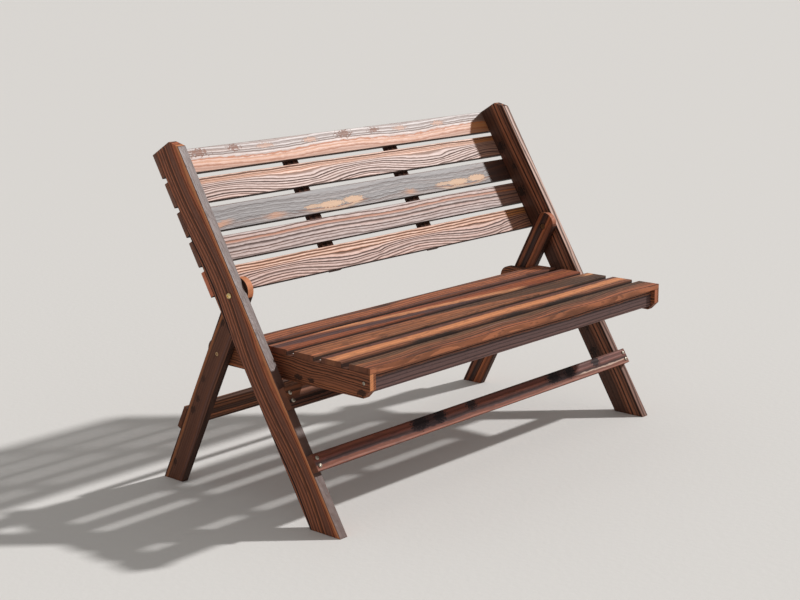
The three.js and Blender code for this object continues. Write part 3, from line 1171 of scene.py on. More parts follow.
@dataclass
class Group:
    """Boards and fasteners that move with one body, and the tilt that they share.

    The spin is how many degrees each fastener's drive is turned further than the last one's.
    """

    body = "frame"
    tilt = Tilt.LEVEL
    spin = 37.0
    batten_screw_length = 0.022
    nodes: dict[str, bpy.types.Object]

    def extent(self, node: str) -> tuple[Vector, Vector]:
        """Measures a node in the group's directions.

        Args:
            node: The node's name.

        Returns:
            Its lowest and highest corner.
        """
        back = self.tilt.turn().inverted()
        points = [back @ vertex.co for vertex in self.nodes[node].data.vertices]
        low = Vector([min(point[axis] for point in points) for axis in range(3)])
        high = Vector([max(point[axis] for point in points) for axis in range(3)])
        return low, high

    def middle(self, node: str) -> Vector:
        """Gives the middle of a node in the group's directions."""
        low, high = self.extent(node)
        return (low + high) / 2

    def fit(
        self,
        piece: bpy.types.Object,
        slot: str,
        material: bpy.types.Material,
        node: str | None = None,
    ) -> None:
        """slot: Not used. The record's material slot.
            material: Its finish.
            node: The node that it stands for, if there is one.
        """
        piece.data.materials.clear()
        piece.data.materials.append(material)
        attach(piece, self.body)
        if node is not None:
            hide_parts(node)
        log.info("%s: %d faces, moves with %s", piece.name, len(piece.data.polygons), self.body)

    def keep(self, node: str, material: bpy.types.Material) -> None:
        """Gives a node that stays a finish.

        Args:
            node: The node's name.
            material: Its finish.
        """
        for place in self.nodes[node].material_slots:
            place.material = material
        log.info("%s: kept from the model", node)

    def fasten(
        self, fastener: Fastener, plating: Plating, slot: str, places: dict[str, Facing]
    ) -> None:
        """Models a fastener to the length of the first node and copies it to every node.

        Args:
            fastener: The fastener.
            plating: Its finish.
            slot: The record's material slot.
            places: Where the head points at each node.
        """
        material = plating.value.material(f"{slot} of {fastener.name}")
        first = next(iter(places))
        head = fastener.above()
        model = fastener.build(places[first].length(*self.extent(first)) - head)
        for number, (node, facing) in enumerate(places.items()):
            half = facing.length(*self.extent(node)) / 2
            seat = self.middle(node) + Vector(facing.value) * (half - head)
            piece = Workbench.copy(model, f"{node}_turned", self._place(seat, facing, number))
            self.fit(piece, slot, material, node)
        bpy.data.objects.remove(model)

    def screw_batten(
        self, batten: str, run: Run, facing: Facing, spots: tuple[float, ...]
    ) -> None:
        """Drives small screws through a batten into the slats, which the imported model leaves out.

        Args:
            batten: The batten's node.
            run: Which way the batten runs.
            facing: Where the heads point.
            spots: The screws' places along the batten.
        """
        material = Plating.ZINC.value.material(f"zinc of {batten}'s screws")
        model = BATTEN_SCREW.build(self.batten_screw_length)
        half = facing.length(*self.extent(batten)) / 2
        seat = self.middle(batten) + Vector(facing.value) * half
        for number, spot in enumerate(spots, 1):
            seat["XYZ".index(run.value[0])] = spot
            place = self._place(seat, facing, number)
            piece = Workbench.copy(model, f"{batten}_screw_{number}", place)
            self.fit(piece, "zinc", material)
        bpy.data.objects.remove(model)

    def _place(self, seat: Vector, facing: Facing, number: int) -> Matrix:
        """Works out the move that takes a fastener to its place.

        Args:
            seat: Where its head's seat goes, in the group's directions.
            facing: Where its head points.
            number: Its number, which turns its drive a little.

        Returns:
            The move from the origin.
        """
        turned = Matrix.Rotation(math.radians(self.spin * number), 4, "Z")
        return self.tilt.turn() @ Matrix.Translation(seat) @ facing.turn() @ turned


@dataclass
class Board:
    """One board: its group and node, where it runs, and how it is finished.

    Ease is how much of each face goes at an edge, and raised how much higher its top is than its
    node's.
    """

    group: Group
    node: str
    run: Run
    fir: Fir
    slot: str = "dark_wood"
    ease: float = 0.0012
    raised: float = 0.0

    def __post_init__(self) -> None:
        """Measures the node and adds a blank of its size, in the directions of the group."""
        self.low, self.high = self.group.extent(self.node)
        top = self.high + Vector((0, 0, self.raised))
        self.piece = Workbench.block(f"{self.node}_board", self.low, top)

    def level_foot(self) -> None:
        """Saws the foot level with the floor."""
        down = self.group.tilt.turn().inverted() @ Vector((0, 0, -1))
        Workbench.trim(self.piece, Vector((0, 0, 0)), down)

    def finish(self, *bores: bpy.types.Object) -> None:
        """Eases the edges, bores the holes, turns the board into place and dresses it.

        Args:
            bores: Cutters for the holes, in the directions of the group.
        """
        Workbench.ease(self.piece, self.ease)
        for cutter in bores:
            Workbench.bore(self.piece, cutter)
        Workbench.smooth(self.piece, Workbench.BOARD_ANGLE)
        self.piece.data.transform(self.group.tilt.turn())
        lay = self.run.lay(self.low, self.high, self.group.tilt)
        material = self.fir.material(f"fir of {self.node}", lay)
        self.group.fit(self.piece, self.slot, material, self.node)


@dataclass
class BackFrame(Group):
    """The leaning uprights with the back slats, the back battens and the front stretchers."""

    tilt = Tilt.UPRIGHT
    uprights: dict[str, Fir]
    slats: dict[int, Fir]
    battens: dict[str, Fir]
    stretchers: dict[str, Fir]
    chamfer: float = 0.023
    bolt_bore: float = 0.0043
    bore_depth: float = 0.04
    batten_spots: tuple[float, ...] = (0.4942, 0.5682, 0.6422, 0.7162, 0.7902)

    def build(self) -> None:
        """Builds the whole group."""
        self.build_uprights()
        for number, fir in self.slats.items():
            Board(self, f"back_slat_{number}", Run.ACROSS_STANDING, fir, "slat_wood").finish()
        for side in SIDES:
            Board(self, f"{side}_back_batten", Run.UP, self.battens[side]).finish()
            self.screw_batten(f"{side}_back_batten", Run.UP, Facing.REAR, self.batten_spots)
        for place, fir in self.stretchers.items():
            Board(self, f"{place}_front_stretcher", Run.ACROSS_STANDING, fir).finish()
        self.build_fasteners()

    def build_uprights(self) -> None:
        """Saws the uprights level at the foot and chamfers their tops."""
        for side in SIDES:
            board = Board(self, f"{side}_upright", Run.UP, self.uprights[side])
            low, high = board.low, board.high
            board.level_foot()
            Workbench.cut_edges(
                board.piece,
                self.chamfer,
                1,
                lambda at: at.y < low.y + LEAST and at.z > high.z - LEAST,
            )
            face = self.middle(f"{side}_frame_bolt")
            face.x = low.x
            board.finish(Workbench.cutter(self.bolt_bore, self.bore_depth, 1.0, face))

    def build_fasteners(self) -> None:
        """Turns the bolts and screws of the group."""
        bolts = {f"{side}_frame_bolt": facing for side, facing in SIDES.items()}
        self.fasten(FRAME_BOLT, Plating.BRASS, "brass", bolts)
        front = [
            f"{side}_{place}_stretcher_screw_{number}"
            for side in SIDES
            for place in self.stretchers
            for number in (1, 2)
        ]
        self.fasten(FRONT_SCREW, Plating.ZINC, "zinc", dict.fromkeys(front, Facing.FRONT))
        rear = [f"{side}_back_slat_screw_{number}" for side in SIDES for number in self.slats]
        self.fasten(SLAT_SCREW, Plating.ZINC, "zinc", dict.fromkeys(rear, Facing.REAR))
        # Painted shade: the frame nuts are dull brown for the shade in their pockets.
        pocket_shade = Plating.BROWNED.value.material("brass of the frame nuts")
        zinc = Plating.ZINC.value.material("zinc of the frame washers")
        for side in SIDES:
            self.keep(f"{side}_frame_nut", pocket_shade)
            self.keep(f"{side}_frame_washer", zinc)


@dataclass
class LegFrame(Group):
    """The rear legs with their stretcher and the bolts that carry the seat."""

    body = "legs"
    tilt = Tilt.LEG
    legs: dict[str, Fir]
    stretcher: Fir
    head_radius: float = 0.0295
    head_facets: int = 10
    bolt_bore: float = 0.0043
    pocket_radius: float = 0.0087
    pocket_depth: float = 0.0074
    seat_bore: float = 0.0033
    seat_bore_sides: int = 24
    seat_head_radius: float = 0.0058
    seat_head_depth: float = 0.0036
    bore_depth: float = 0.04

    def build(self) -> None:
        """Builds the whole group."""
        for side, facing in SIDES.items():
            board = Board(self, f"{side}_rear_leg", Run.UP, self.legs[side])
            top = board.high.z - LEAST
            board.level_foot()
            Workbench.cut_edges(
                board.piece, self.head_radius, self.head_facets, lambda at: at.z > top
            )
            board.finish(*self._cutters(board, side, facing))
        Board(self, "rear_stretcher", Run.ACROSS_STANDING, self.stretcher).finish()
        self.build_fasteners()

    def _cutters(self, board: Board, side: str, facing: Facing) -> list[bpy.types.Object]:
        """Makes the cutters of one leg.

        Args:
            board: The leg.
            side: The leg's side.
            facing: Where its outer face points.

        Returns:
            The cutters of the bolt's bore, the nut's pocket, and the seat bolt's bore and sink.
        """
        out = float(facing.value[0])
        outer, inner = (board.high.x, board.low.x) if out > 0 else (board.low.x, board.high.x)
        frame_bolt, seat_bolt = (self.middle(f"{side}_{kind}_bolt") for kind in ("frame", "seat"))
        bolt_face, seat_face, sink_face = (
            Vector((face, bolt.y, bolt.z))
            for face, bolt in ((inner, frame_bolt), (inner, seat_bolt), (outer, seat_bolt))
        )
        return [
            Workbench.cutter(self.bolt_bore, self.bore_depth, out, bolt_face),
            Workbench.cutter(self.pocket_radius, self.pocket_depth, out, bolt_face),
            Workbench.cutter(
                self.seat_bore, self.bore_depth, out, seat_face, self.seat_bore_sides
            ),
            Workbench.cutter(self.seat_head_radius, self.seat_head_depth, -out, sink_face),
        ]

    def build_fasteners(self) -> None:
        """Turns the bolts and screws of the group."""
        bolts = {f"{side}_seat_bolt": facing for side, facing in SIDES.items()}
        self.fasten(SEAT_BOLT, Plating.AGED, "brass", bolts)
        rear = [f"{side}_rear_stretcher_screw_{number}" for side in SIDES for number in (1, 2)]
        self.fasten(REAR_SCREW, Plating.ZINC, "zinc", dict.fromkeys(rear, Facing.REAR))
        zinc = Plating.ZINC.value.material("zinc of the seat nuts")
        for side in SIDES:
            self.keep(f"{side}_seat_nut", zinc)
            self.keep(f"{side}_seat_washer", zinc)


@dataclass
class SeatFrame(Group):
    """The seat's rails with the slats, the apron and the battens below.

    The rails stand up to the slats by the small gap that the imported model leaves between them.
    """

    body = "seat"
    rails: dict[str, Fir]
    slats: dict[int, Fir]
    battens: dict[str, Fir]
    apron: Fir
    tail_radius: float = 0.028
    tail_facets: int = 10
    front_chamfer: float = 0.02
    seat_bore: float = 0.0033
    seat_bore_sides: int = 24
    bore_depth: float = 0.04
    batten_spots: tuple[float, ...] = (-0.2876, -0.2176, -0.1346, -0.0516, 0.0314)
    thin_ease: float = 0.0002
    slat_gap: float = 0.0003

    def build(self) -> None:
        """Builds the whole group."""
        self.build_rails()
        for number, fir in self.slats.items():
            Board(
                self, f"seat_slat_{number}", Run.ACROSS_LYING, fir, "slat_wood", self.thin_ease
            ).finish()
        Board(self, "front_apron", Run.ACROSS_STANDING, self.apron).finish()
        for side in SIDES:
            node, run = f"{side}_seat_batten", Run.FRONT_TO_REAR
            Board(self, node, run, self.battens[side]).finish()
            self.screw_batten(node, run, Facing.DOWN, self.batten_spots)
        screws = {f"{side}_apron_screw": facing for side, facing in SIDES.items()}
        self.fasten(APRON_SCREW, Plating.ZINC, "zinc", screws)

    def build_rails(self) -> None:
        """Rounds the rails' tails, chamfers their front lower corners and bores them."""
        for side in SIDES:
            board = Board(
                self,
                f"{side}_seat_rail",
                Run.FRONT_TO_REAR,
                self.rails[side],
                ease=self.thin_ease,
                raised=self.slat_gap,
            )
            low, high = board.low, board.high
            Workbench.cut_edges(
                board.piece, self.tail_radius, self.tail_facets, lambda at: at.y > high.y - LEAST
            )
            Workbench.cut_edges(
                board.piece,
                self.front_chamfer,
                1,
                lambda at: at.y < low.y + LEAST and at.z < low.z + LEAST,
            )
            face = self.middle(f"{side}_seat_bolt")
            face.x = low.x
            cutter = Workbench.cutter(
                self.seat_bore, self.bore_depth, 1.0, face, self.seat_bore_sides
            )
            board.finish(cutter)


@dataclass
class Studio:
    """A pale floor, a soft key light from the right, pale surroundings and the camera."""

    floor_size: float = 120.0
    floor_tint: Tint = Tint(219, 216, 212)
    floor_grit: float = 60.0
    floor_relief: float = 0.0004
    floor_rough: float = 0.9
    floor_shine: float = 0.2
    key_from: tuple[float, float, float] = (0.708, -0.391, 0.588)
    key_strength: float = 3.25
    key_spread: float = 3.0
    world_tint: tuple[float, float, float, float] = (1.0, 0.985, 0.97, 1.0)
    world_strength: float = 0.38
    camera_place: tuple[float, float, float] = (-2.8294, -2.4493, 1.2184)
    camera_yaw: float = -48.21
    camera_pitch: float = -12.58
    camera_roll: float = 0.45
    lens: float = 69.37
    sensor: float = 36.0

    def build(self) -> None:
        """Builds the floor, the lights and the camera."""
        self.build_floor()
        self.build_lights()
        self.build_camera()

    def build_floor(self) -> None:
        """Lays the floor."""
        bpy.ops.object.select_all(action="DESELECT")
        bpy.ops.mesh.primitive_plane_add(size=self.floor_size, location=(0, 0, 0))
        floor = bpy.context.active_object
        floor.name = "floor"
        graph = Graph("plain floor")
        grit = graph.noise(graph.place(Scale=(self.floor_grit,) * 3))
        fixed = {"Specular IOR Level": self.floor_shine}
        tint = self.floor_tint.linear()
        finish = graph.surface(tint, self.floor_rough, grit, self.floor_relief, fixed)
        floor.data.materials.append(finish)

    def build_lights(self) -> None:
        """Hangs the key light and sets the pale surroundings."""
        lamp = bpy.data.lights.new("key light", "SUN")
        lamp.energy = self.key_strength
        lamp.angle = math.radians(self.key_spread)
        key = bpy.data.objects.new("key light", lamp)
        key.rotation_euler = Vector(self.key_from).to_track_quat("Z", "Y").to_euler()
        bpy.context.scene.collection.objects.link(key)
        world = bpy.data.worlds.new("studio")
        world.use_nodes = True
        background = world.node_tree.nodes["Background"]
        background.inputs["Color"].default_value = self.world_tint
        background.inputs["Strength"].default_value = self.world_strength
        bpy.context.scene.world = world
        bpy.context.scene.view_settings.view_transform = "Standard"

    def build_camera(self) -> None:
        """Sets up the camera where the photograph was taken from."""
        data = bpy.data.cameras.new("camera")
        data.sensor_width = self.sensor
        data.sensor_fit = "HORIZONTAL"
        data.lens = self.lens
        camera = bpy.data.objects.new("camera", data)
        turn = (
            Matrix.Rotation(math.radians(self.camera_yaw), 4, "Z")
            @ Matrix.Rotation(math.radians(self.camera_pitch), 4, "X")
            @ Matrix.Rotation(math.radians(self.camera_roll), 4, "Y")
            @ Matrix.Rotation(math.radians(90), 4, "X")
        )
        camera.matrix_world = Matrix.Translation(self.camera_place) @ turn
        bpy.context.scene.collection.objects.link(camera)
        bpy.context.scene.camera = camera


# The finish of each board

ORANGE = Tint(180, 104, 54)
CREAM = Tint(184, 120, 78)
AMBER = Tint(192, 120, 60)
RUST = Tint(150, 84, 46)
BLOND = Tint(224, 184, 150)
RED_BROWN = Tint(152, 78, 46)
MAUVE = Tint(100, 66, 58)
# A near-black: dark marks in the wood, and painted shade on the legs and the slats' edges and gaps.
SOOT_AND_SHADE = Tint(40, 26, 20)
# Painted shade: the back slats' lower edge faces are nearly black.
PAINTED_UNDERSIDE_SHADE = Skin(Face.LOWER, SOOT_AND_SHADE, 0.92, 0.25, 0.6)
# Painted shade: the lower part of the seat slats' front faces, down in the gaps, is nearly black.
PAINTED_GAP_SHADE = Skin(Face.LOWER, SOOT_AND_SHADE, 0.9, 0.25, 0.5, 0.0026)


def beside(first: Band, *others: tuple[float, float]) -> tuple[Band, ...]:
    """Sets a stripe, and the same again at other middles and half widths across the board."""
    return (first, *(replace(first, middle=middle, half=half) for middle, half in others))


def rusty_line(middle: float, half: float, strength: float) -> Band:
    """Draws a thin, dull, rust-coloured line, by its place, half width and strength."""
    return Band(middle, half, RUST, strength, 0.0008, 0.0, 0.001, rough=0.2)


UPRIGHT_FIR = {
    "left": Fir(
        early=Tint(158, 92, 62), late=Tint(36, 20, 16), smoke=Tint(74, 44, 36), pitch=0.0092,
        pith=(0.3, 0.06), wander=0.002, sway=0.0014, ripple=0.0007, contrast=1.2, sharp=0.32,
        smoky=0.35, glowing=0.3, flecked=0.5, fleck_size=(0.035, 0.005), relief=0.0016, rough=0.56,
        shine=0.4, swell=Swell(0.0075, -0.09, -0.036, -0.02),
        bands=(
            Band(-0.015, 0.009, Tint(104, 62, 46), 0.75, 0.004, 0.55),
            Band(-0.028, 0.0065, Tint(178, 96, 56), 0.85, 0.003, 0.3),
            Band(-0.0345, 0.0024, Tint(226, 146, 92), 0.85, 0.0012, 0.7),
        ),
        skins=(*ENDS, Skin(Face.LOWER, Tint(92, 68, 60), 0.92, -0.14, 0.55)), seed=1.3,
    ),
    "right": Fir(
        early=Tint(130, 78, 52), late=Tint(38, 22, 17), smoke=Tint(52, 32, 26), pitch=0.0088,
        pith=(0.22, 0.15), wander=0.002, sway=0.0012, contrast=1.2, sharp=0.36, smoky=0.4,
        glowing=0.25, relief=0.0008, rough=0.56, shine=0.4, swell=Swell(0.002, -0.09),
        bands=(
            Band(0.022, 0.02, Tint(68, 40, 27), 0.8, 0.005, 0.6),
            *beside(
                Band(-0.001, 0.002, Tint(184, 116, 82), 0.7, 0.002, 0.3),
                (-0.009, 0.002), (-0.02, 0.0035), (-0.03, 0.0022),
            ),
            *beside(Band(-0.0255, 0.0016, SOOT_AND_SHADE, 0.8, 0.001), (-0.035, 0.0016)),
            *twice(
                Band(0.03, 0.008, Tint(118, 58, 40), 0.7, 0.005, 0.0, 0.006, -0.31, -0.29),
                Band(0.028, 0.008, Tint(118, 58, 40), 0.7, 0.005, 0.0, 0.006, -0.16, -0.14),
            ),
        ),
        knots=twice(
            Knot(-0.265, 0.022, 0.012, 0.8, 1.3, 0.002, ragged=4.0),
            Knot(-0.125, 0.024, 0.012, 0.8, 1.3, 0.002, ragged=4.0),
            Knot(-0.195, 0.01, 0.007, 0.7, 1.3, 0.002, ragged=4.0),
        ),
        skins=(
            *ENDS, Skin(Face.LOWER, Tint(184, 140, 118), 0.8, -0.08, 0.3),
            Skin(Face.LOWER, Tint(110, 70, 54), 0.85, 0.16, 0.1, until=-0.14),
        ),
        seed=8.1,
    ),
}
WAVY_GRAIN = Fir(
    pith=(-0.16, -0.03), wander=0.003, wander_length=0.25, sway=0.0016, ripple=0.0009, contrast=1.1,
    sharp=0.46, smoky=0.1, flecked=0.1, relief=0.0007, skins=(*ENDS, PAINTED_UNDERSIDE_SHADE),
)
BACK_SLAT_FIR = {
    5: Fir(
        early=Tint(126, 98, 86), late=Tint(92, 68, 58), glow=CREAM, glowing=0.25,
        pith=(0.1, -0.05), pitch=0.0066, wander=0.004, wander_length=0.16, sway=0.0026,
        ripple=0.0012, contrast=0.2, sharp=0.5, smoky=0.1, flecked=0.1, relief=0.0005, rough=0.42,
        bands=(
            Band(-0.019, 0.015, CREAM, 0.9, 0.002, 0.4, 0.003, rough=0.03),
            Band(-0.0035, 0.0018, ORANGE, 0.95, 0.0012, 0.5, 0.006, rough=0.14),
            Band(-0.011, 0.0014, AMBER, 0.7, 0.0015, 0.3, 0.005, rough=0.05),
            Band(-0.0205, 0.002, RUST, 0.75, 0.002, 0.3, 0.004, rough=0.14),
            Band(-0.0275, 0.0035, Tint(156, 106, 80), 0.7, 0.003, 0.3, 0.003, rough=0.08),
        ),
        skins=(*ENDS, PAINTED_UNDERSIDE_SHADE),
        knots=twice(
            Knot(-0.478, 0.018, 0.008, 0.65, 2.8, 0.003, Tint(138, 84, 58), 5.5),
            Knot(-0.366, 0.019, 0.0062, 0.65, 2.4, 0.003, Tint(138, 84, 58), 5.5),
            Knot(-0.268, 0.015, 0.006, 0.5, 4.2, 0.002, Tint(228, 180, 154), 3.0),
            Knot(-0.112, 0.015, 0.0062, 0.6, 4.0, 0.002, Tint(228, 180, 154), 3.0),
        ),
        swell=Swell(0.0045, -0.005), seed=21.0,
    ),
    4: replace(
        WAVY_GRAIN, early=Tint(170, 128, 110), late=Tint(60, 40, 34), pitch=0.0066, glowing=0.25,
        rough=0.445, swell=Swell(0.01, 0.04, 0.02, -0.004),
        bands=(
            Band(0.0215, 0.0085, AMBER, 0.85, 0.004, 0.2, 0.003, rough=-0.015),
            rusty_line(0.024, 0.0007, 0.8), rusty_line(0.017, 0.0007, 0.7),
        ),
        knots=twice(Knot(-0.155, -0.016, 0.006, 0.15, 1.6, 0.006)), seed=34.0,
    ),
    3: Fir(
        early=Tint(64, 42, 35), late=Tint(48, 32, 27), glowing=0.15, pith=(0.05, -0.04),
        pitch=0.0075, wander=0.002, wander_length=0.1, sway=0.004, ripple=0.003, contrast=0.06,
        smoky=0.05, flecked=0.05, relief=0.0004, rough=0.46, swell=Swell(0.008, 0.125),
        bands=(
            *twice(
                Band(-0.0237, 0.0065, AMBER, 0.8, 0.003, 0.5, 0.009, -0.345, -0.31, 0.0, 0.06),
                Band(-0.0185, 0.0026, BLOND, 0.6, 0.0014, 0.5, 0.003, -0.215, -0.03, 0.0, 0.1),
                Band(-0.0155, 0.001, RUST, 0.8, 0.001, 0.5, 0.002, -0.235, 0.0, 0.0, 0.2),
            ),
            Band(-0.015, 0.0065, AMBER, 0.8, 0.003, 0.5, 0.009, None, -0.48, 0.0, 0.06),
        ),
        knots=twice(
            Knot(-0.19, -0.0115, 0.005, 0.7, 7.0, 0.001, BLOND, 1.3),
            Knot(-0.132, -0.013, 0.0088, 0.85, 5.0, 0.001, BLOND, 1.3),
            Knot(-0.052, -0.0105, 0.0092, 0.85, 4.0, 0.001, BLOND, 1.3),
        ),
        skins=(*ENDS, PAINTED_UNDERSIDE_SHADE), seed=47.0,
    ),
    2: Fir(
        early=Tint(142, 104, 90), late=Tint(60, 40, 34), pith=(-0.2, 0.0), pitch=0.0084,
        wander=0.002, sway=0.0018, ripple=0.0014, contrast=0.95, sharp=0.48, smoky=0.2,
        flecked=0.25, fleck_size=(0.025, 0.004), relief=0.0007, rough=0.455,
        swell=Swell(0.0018, 0.3),
        bands=(
            Band(0.014, 0.0026, ORANGE, 0.8, 0.002, 0.3, rough=0.1),
            Band(-0.021, 0.009, Tint(120, 92, 84), 0.6, 0.004, 0.3, 0.003),
        ),
        skins=(*ENDS, PAINTED_UNDERSIDE_SHADE), seed=55.0,
    ),
    1: replace(
        WAVY_GRAIN, early=Tint(164, 114, 92), late=Tint(56, 36, 30), pitch=0.0068, glowing=0.3,
        rough=0.45, swell=Swell(0.009, 0.11, 0.018, -0.006),
        bands=(
            Band(0.02, 0.0105, AMBER, 0.85, 0.004, 0.15, 0.003, rough=-0.015),
            rusty_line(0.025, 0.0008, 0.8), rusty_line(0.018, 0.0008, 0.7),
            rusty_line(0.012, 0.0007, 0.6),
        ),
        # Painted light: the left end face is orange, standing for sunlight on it.
        skins=(*ENDS, Skin(Face.START, Tint(200, 116, 84), 0.9, 0.1, 1.0), PAINTED_UNDERSIDE_SHADE),
        knots=twice(Knot(-0.04, -0.016, 0.006, 0.15, 1.6, 0.006)), seed=61.0,
    ),
}
SEAT_GRAIN = Fir(
    pith=(0.26, 0.1), pitch=0.0125, ripple=0.002, contrast=0.65, smoky=0.55, flecked=0.5,
    fleck_size=(0.035, 0.009), glowing=0.35, relief=0.001, rough=0.6, shine=0.35,
    skins=(*ENDS, PAINTED_GAP_SHADE),
)
SEAT_SLAT_FIR = {
    5: replace(
        SEAT_GRAIN, early=Tint(168, 98, 66), smoke=Tint(110, 66, 50), smoky=0.7,
        bands=(
            Band(-0.027, 0.006, MAUVE, 0.8, 0.004, 0.0, 0.003),
            Band(0.024, 0.008, Tint(92, 60, 48), 0.6, 0.004, 0.0, 0.004),
            Band(0.02, 0.01, SOOT_AND_SHADE, 0.7, 0.004, 0.0, 0.005, -0.13, -0.06),
            Band(0.0, 0.01, Tint(190, 112, 74), 0.4, 0.006, 0.0, 0.006),
        ),
        swell=Swell(0.005, 0.1), seed=71.0,
    ),
    4: replace(
        SEAT_GRAIN, early=Tint(158, 84, 52),
        bands=(
            Band(-0.024, 0.012, Tint(88, 64, 64), 0.9, 0.005, 0.0, 0.004, slant=-0.06),
            Band(-0.05, 0.01, Tint(158, 88, 58), 0.8, 0.004, 0.2, 0.003, slant=-0.06),
            Band(0.026, 0.006, MAUVE, 0.8, 0.004, 0.2, 0.002, -0.05),
            Band(0.012, 0.013, RED_BROWN, 0.7, 0.004, 0.3, 0.002, slant=-0.075),
            Band(-0.005, 0.0095, Tint(222, 150, 104), 0.9, 0.007, 0.4, 0.004, -0.4, 0.3, -0.092),
            Band(0.022, 0.003, Tint(200, 136, 104), 0.5, 0.003, 0.5, 0.002, None, -0.36),
        ),
        seed=82.0,
    ),
    3: replace(
        SEAT_GRAIN, early=Tint(154, 98, 68), flecked=0.55,
        bands=(
            Band(0.0435, 0.03, Tint(70, 54, 42), 0.8, 0.006, 0.0, 0.005, slant=-0.11),
            Band(0.01, 0.004, Tint(118, 86, 78), 0.7, 0.003, 0.3, 0.002, None, -0.22, -0.06),
            Band(0.008, 0.005, Tint(170, 104, 72), 0.7, 0.004, 0.5, 0.002, -0.25, 0.4, -0.11),
            Band(-0.024, 0.0026, Tint(226, 132, 86), 0.9, 0.002, 0.8, 0.001, None, -0.33),
            Band(0.015, 0.008, Tint(226, 160, 112), 0.9, 0.003, 0.8, 0.002, 0.52),
        ),
        seed=93.0,
    ),
    2: replace(
        SEAT_GRAIN, early=Tint(146, 88, 60), swell=Swell(0.0015, 0.0),
        bands=(
            Band(0.027, 0.011, Tint(108, 68, 58), 0.85, 0.004, 0.3),
            Band(-0.001, 0.014, Tint(220, 144, 96), 0.92, 0.006, 0.3, 0.005),
            *twice(Band(-0.029, 0.0045, Tint(44, 30, 22), 0.9, 0.002, 0.0, 0.006, -0.33, -0.17)),
            Band(-0.029, 0.0045, Tint(44, 30, 22), 0.9, 0.002, 0.0, 0.006, -0.03, 0.1),
        ),
        seed=104.0,
    ),
    1: replace(
        SEAT_GRAIN, early=Tint(146, 90, 62), smoke=Tint(80, 56, 44), glowing=0.3, contrast=0.8,
        pitch=0.01, drift=(0.035, 0.0),
        bands=(
            Band(0.023, 0.011, Tint(104, 76, 54), 0.8, 0.005, 0.0, 0.004),
            Band(0.012, 0.0022, Tint(160, 118, 106), 0.6, 0.003, 0.3, 0.002, -0.14, 0.02),
            Band(-0.022, 0.009, Tint(184, 104, 68), 0.7, 0.004, 0.2, 0.004),
            Band(-0.025, 0.0016, SOOT_AND_SHADE, 0.95, 0.0014, 0.0, 0.0006, rough=0.2),
            *twice(Band(-0.029, 0.003, SOOT_AND_SHADE, 0.9, 0.002, 0.0, 0.003, -0.46, -0.33)),
            *twice(Band(-0.02, 0.0018, SOOT_AND_SHADE, 0.85, 0.0012, 0.0, 0.001, -0.44, -0.3)),
        ),
        skins=(*ENDS, Skin(Face.LOWER, Tint(160, 96, 62), 0.75, 0.1)),
        swell=Swell(0.0035, 0.17, length=0.25), seed=115.0,
    ),
}
LEG_FIR = {
    "left": Fir(
        early=Tint(112, 68, 48), late=Tint(36, 22, 17), pith=(0.24, 0.06), pitch=0.0066,
        contrast=0.9, smoky=0.5, glowing=0.2, flecked=0.4, rough=0.62, shine=0.3,
        swell=Swell(0.002, 0.0),
        bands=(
            Band(-0.003, 0.014, Tint(104, 62, 44), 0.8, 0.005, 0.75),
            Band(0.0235, 0.0026, Tint(182, 112, 66), 0.8, 0.002, 0.5),
            Band(-0.02, 0.003, Tint(96, 66, 62), 0.6, 0.002, 0.3),
        ),
        skins=(
            # Painted shade: the front-lower face is near black, and so is the outer side near the
            # top, next to the upright, where the orange head does not reach.
            ENDS[0], Skin(Face.LOWER, Tint(44, 28, 22), 0.8, 0.1, 0.3),
            Skin(Face.END, SOOT_AND_SHADE, 0.8, 0.1, 0.5, depth=0.03),
            Skin(Face.END, Tint(204, 130, 88), 0.9, -0.05, 0.4, 0.0079, 0.03),
        ),
        knots=tuple(
            Knot(along, across, radius, strength, push=0.002)
            for along, across, radius, strength in (
                (-0.24, 0.012, 0.006, 0.6), (-0.08, 0.012, 0.007, 0.6), (-0.045, 0.01, 0.006, 0.6),
                (0.01, 0.013, 0.006, 0.5), (0.172, 0.013, 0.006, 0.6),
            )
        ),
        seed=121.0,
    ),
    "right": Fir(
        early=Tint(136, 76, 48), late=Tint(34, 21, 17), pith=(0.24, 0.06), pitch=0.0125,
        contrast=0.95, smoky=0.5, glowing=0.5, flecked=0.4, rough=0.6, shine=0.3,
        bands=(
            Band(0.006, 0.007, Tint(56, 38, 34), 0.9, 0.003, 0.5),
            Band(-0.011, 0.004, Tint(176, 98, 60), 0.8, 0.003, 0.4),
        ),
        skins=(
            # Painted shade: the front-lower face is near black.
            *ENDS, Skin(Face.LOWER, SOOT_AND_SHADE, 0.85, 0.1, 0.3),
            Skin(Face.END, Tint(184, 112, 80), 0.7, 0.0, 0.4, 0.0079, 0.016),
        ),
        seed=133.0,
    ),
}
RAIL_FIR = {
    side: Fir(
        early=Tint(144, 84, 54), late=Tint(44, 26, 19), pith=(-0.14, 0.07), drift=(0.04, 0.0),
        pitch=0.0054, wander=0.006, wander_length=0.16, sway=0.003, ripple=0.0016, contrast=1.0,
        sharp=0.44, smoky=0.4, flecked=0.4, fleck_size=(0.03, 0.003), relief=0.0007, rough=0.6,
        shine=0.3,
        skins=(
            Skin(Face.START, Tint(146, 86, 54), 0.85, 0.1, 0.4),
            Skin(Face.START, tip, 0.9, 0.05, 0.6, 0.001),
            # Painted shade: the top face, which shows only in the seat's gaps, is dark and dull.
            Skin(Face.UPPER, Tint(72, 44, 34), 0.7, 0.2),
        ),
        knots=(
            Knot(-0.23, -0.017, 0.008, 0.8, 1.6, 0.004), Knot(-0.08, -0.016, 0.006, 0.8),
            Knot(-0.04, -0.015, 0.007, 0.8),
        ),
        seed=seed,
    )
    for side, tip, seed in (
        ("left", Tint(212, 138, 90), 141.0), ("right", Tint(176, 104, 72), 149.0)
    )
}
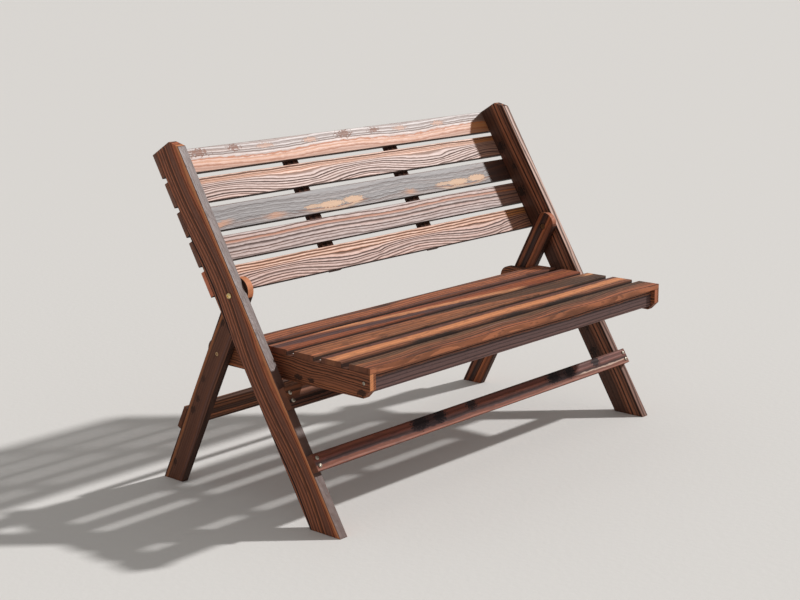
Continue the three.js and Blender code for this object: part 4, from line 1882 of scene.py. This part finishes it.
STRETCHER_FIR = {
    "lower": Fir(
        early=Tint(116, 56, 40), late=Tint(34, 22, 20), smoke=Tint(52, 30, 27), pith=(0.14, 0.06),
        pitch=0.011, contrast=0.7, smoky=0.6, wander=0.005, glowing=0.2, flecked=0.4,
        fleck_size=(0.04, 0.005), relief=0.0008, rough=0.53, shine=0.32,
        bands=(
            Band(-0.005, 0.004, Tint(40, 25, 25), 0.8, 0.003, 0.3, 0.003, rough=0.2),
            Band(-0.015, 0.0045, Tint(150, 84, 56), 0.7, 0.003, 0.3, 0.002),
            *twice(
                Band(
                    0.007, 0.015, Tint(42, 26, 28), 0.85, 0.002, 0.3, 0.004, -0.276, -0.166,
                    rough=0.15, fade=0.01,
                ),
                shift=0.52,
            ),
            # Painted highlight: a pale streak along the sunlit right end.
            Band(-0.0105, 0.0018, Tint(222, 192, 172), 0.65, 0.0012, 0.3, 0.003, 0.37, None, 0.004),
        ),
        knots=twice(
            *(
                Knot(*shape, 0.003, Tint(30, 20, 22), 3.0)
                for shape in (
                    (-0.25, 0.008, 0.015, 0.95, 1.8),
                    (-0.178, 0.008, 0.014, 0.95, 1.5),
                    (-0.062, 0.01, 0.012, 0.9, 1.5),
                )
            ),
            shift=0.52,
        ),
        seed=157.0,
    ),
    "upper": Fir(
        early=Tint(88, 52, 38), late=Tint(34, 21, 17), smoky=0.6, rough=0.65, shine=0.3, seed=163.0
    ),
}
REAR_STRETCHER_FIR = Fir(
    early=Tint(78, 48, 32), late=Tint(30, 19, 15), smoky=0.5, rough=0.65, shine=0.3, pitch=0.0075,
    bands=(Band(-0.015, 0.0045, Tint(172, 104, 66), 0.7, 0.003, 0.2),), seed=171.0,
)
APRON_FIR = Fir(
    early=Tint(90, 62, 58), late=Tint(40, 26, 26), glowing=0.05, pith=(-0.18, 0.0), pitch=0.0085,
    contrast=0.95, sharp=0.5, smoky=0.2, flecked=0.4, fleck_size=(0.03, 0.003), relief=0.0008,
    rough=0.6, shine=0.4,
    bands=(Band(0.017, 0.0075, Tint(150, 88, 54), 0.9, 0.002, 0.0, 0.004),), seed=181.0,
)
# Painted shade: the battens are dark and dull, so what shows of them through the back slats' gaps
# looks unlit.
BATTEN_FIR = {
    side: Fir(
        early=Tint(60, 35, 26), late=Tint(32, 20, 16), glowing=0.1, smoky=0.4, rough=0.85,
        shine=0.2, seed=seed,
    )
    for side, seed in (("left", 191.0), ("right", 199.0))
}


def main() -> None:
    """Builds the bench and the studio."""
    logging.basicConfig(level=logging.INFO, format="%(name)s: %(message)s", stream=sys.stdout)
    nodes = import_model()["nodes"]
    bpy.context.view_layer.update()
    BackFrame(nodes, UPRIGHT_FIR, BACK_SLAT_FIR, BATTEN_FIR, STRETCHER_FIR).build()
    LegFrame(nodes, LEG_FIR, REAR_STRETCHER_FIR).build()
    SeatFrame(nodes, RAIL_FIR, SEAT_SLAT_FIR, BATTEN_FIR, APRON_FIR).build()
    Studio().build()


if __name__ == "__main__":
    main()
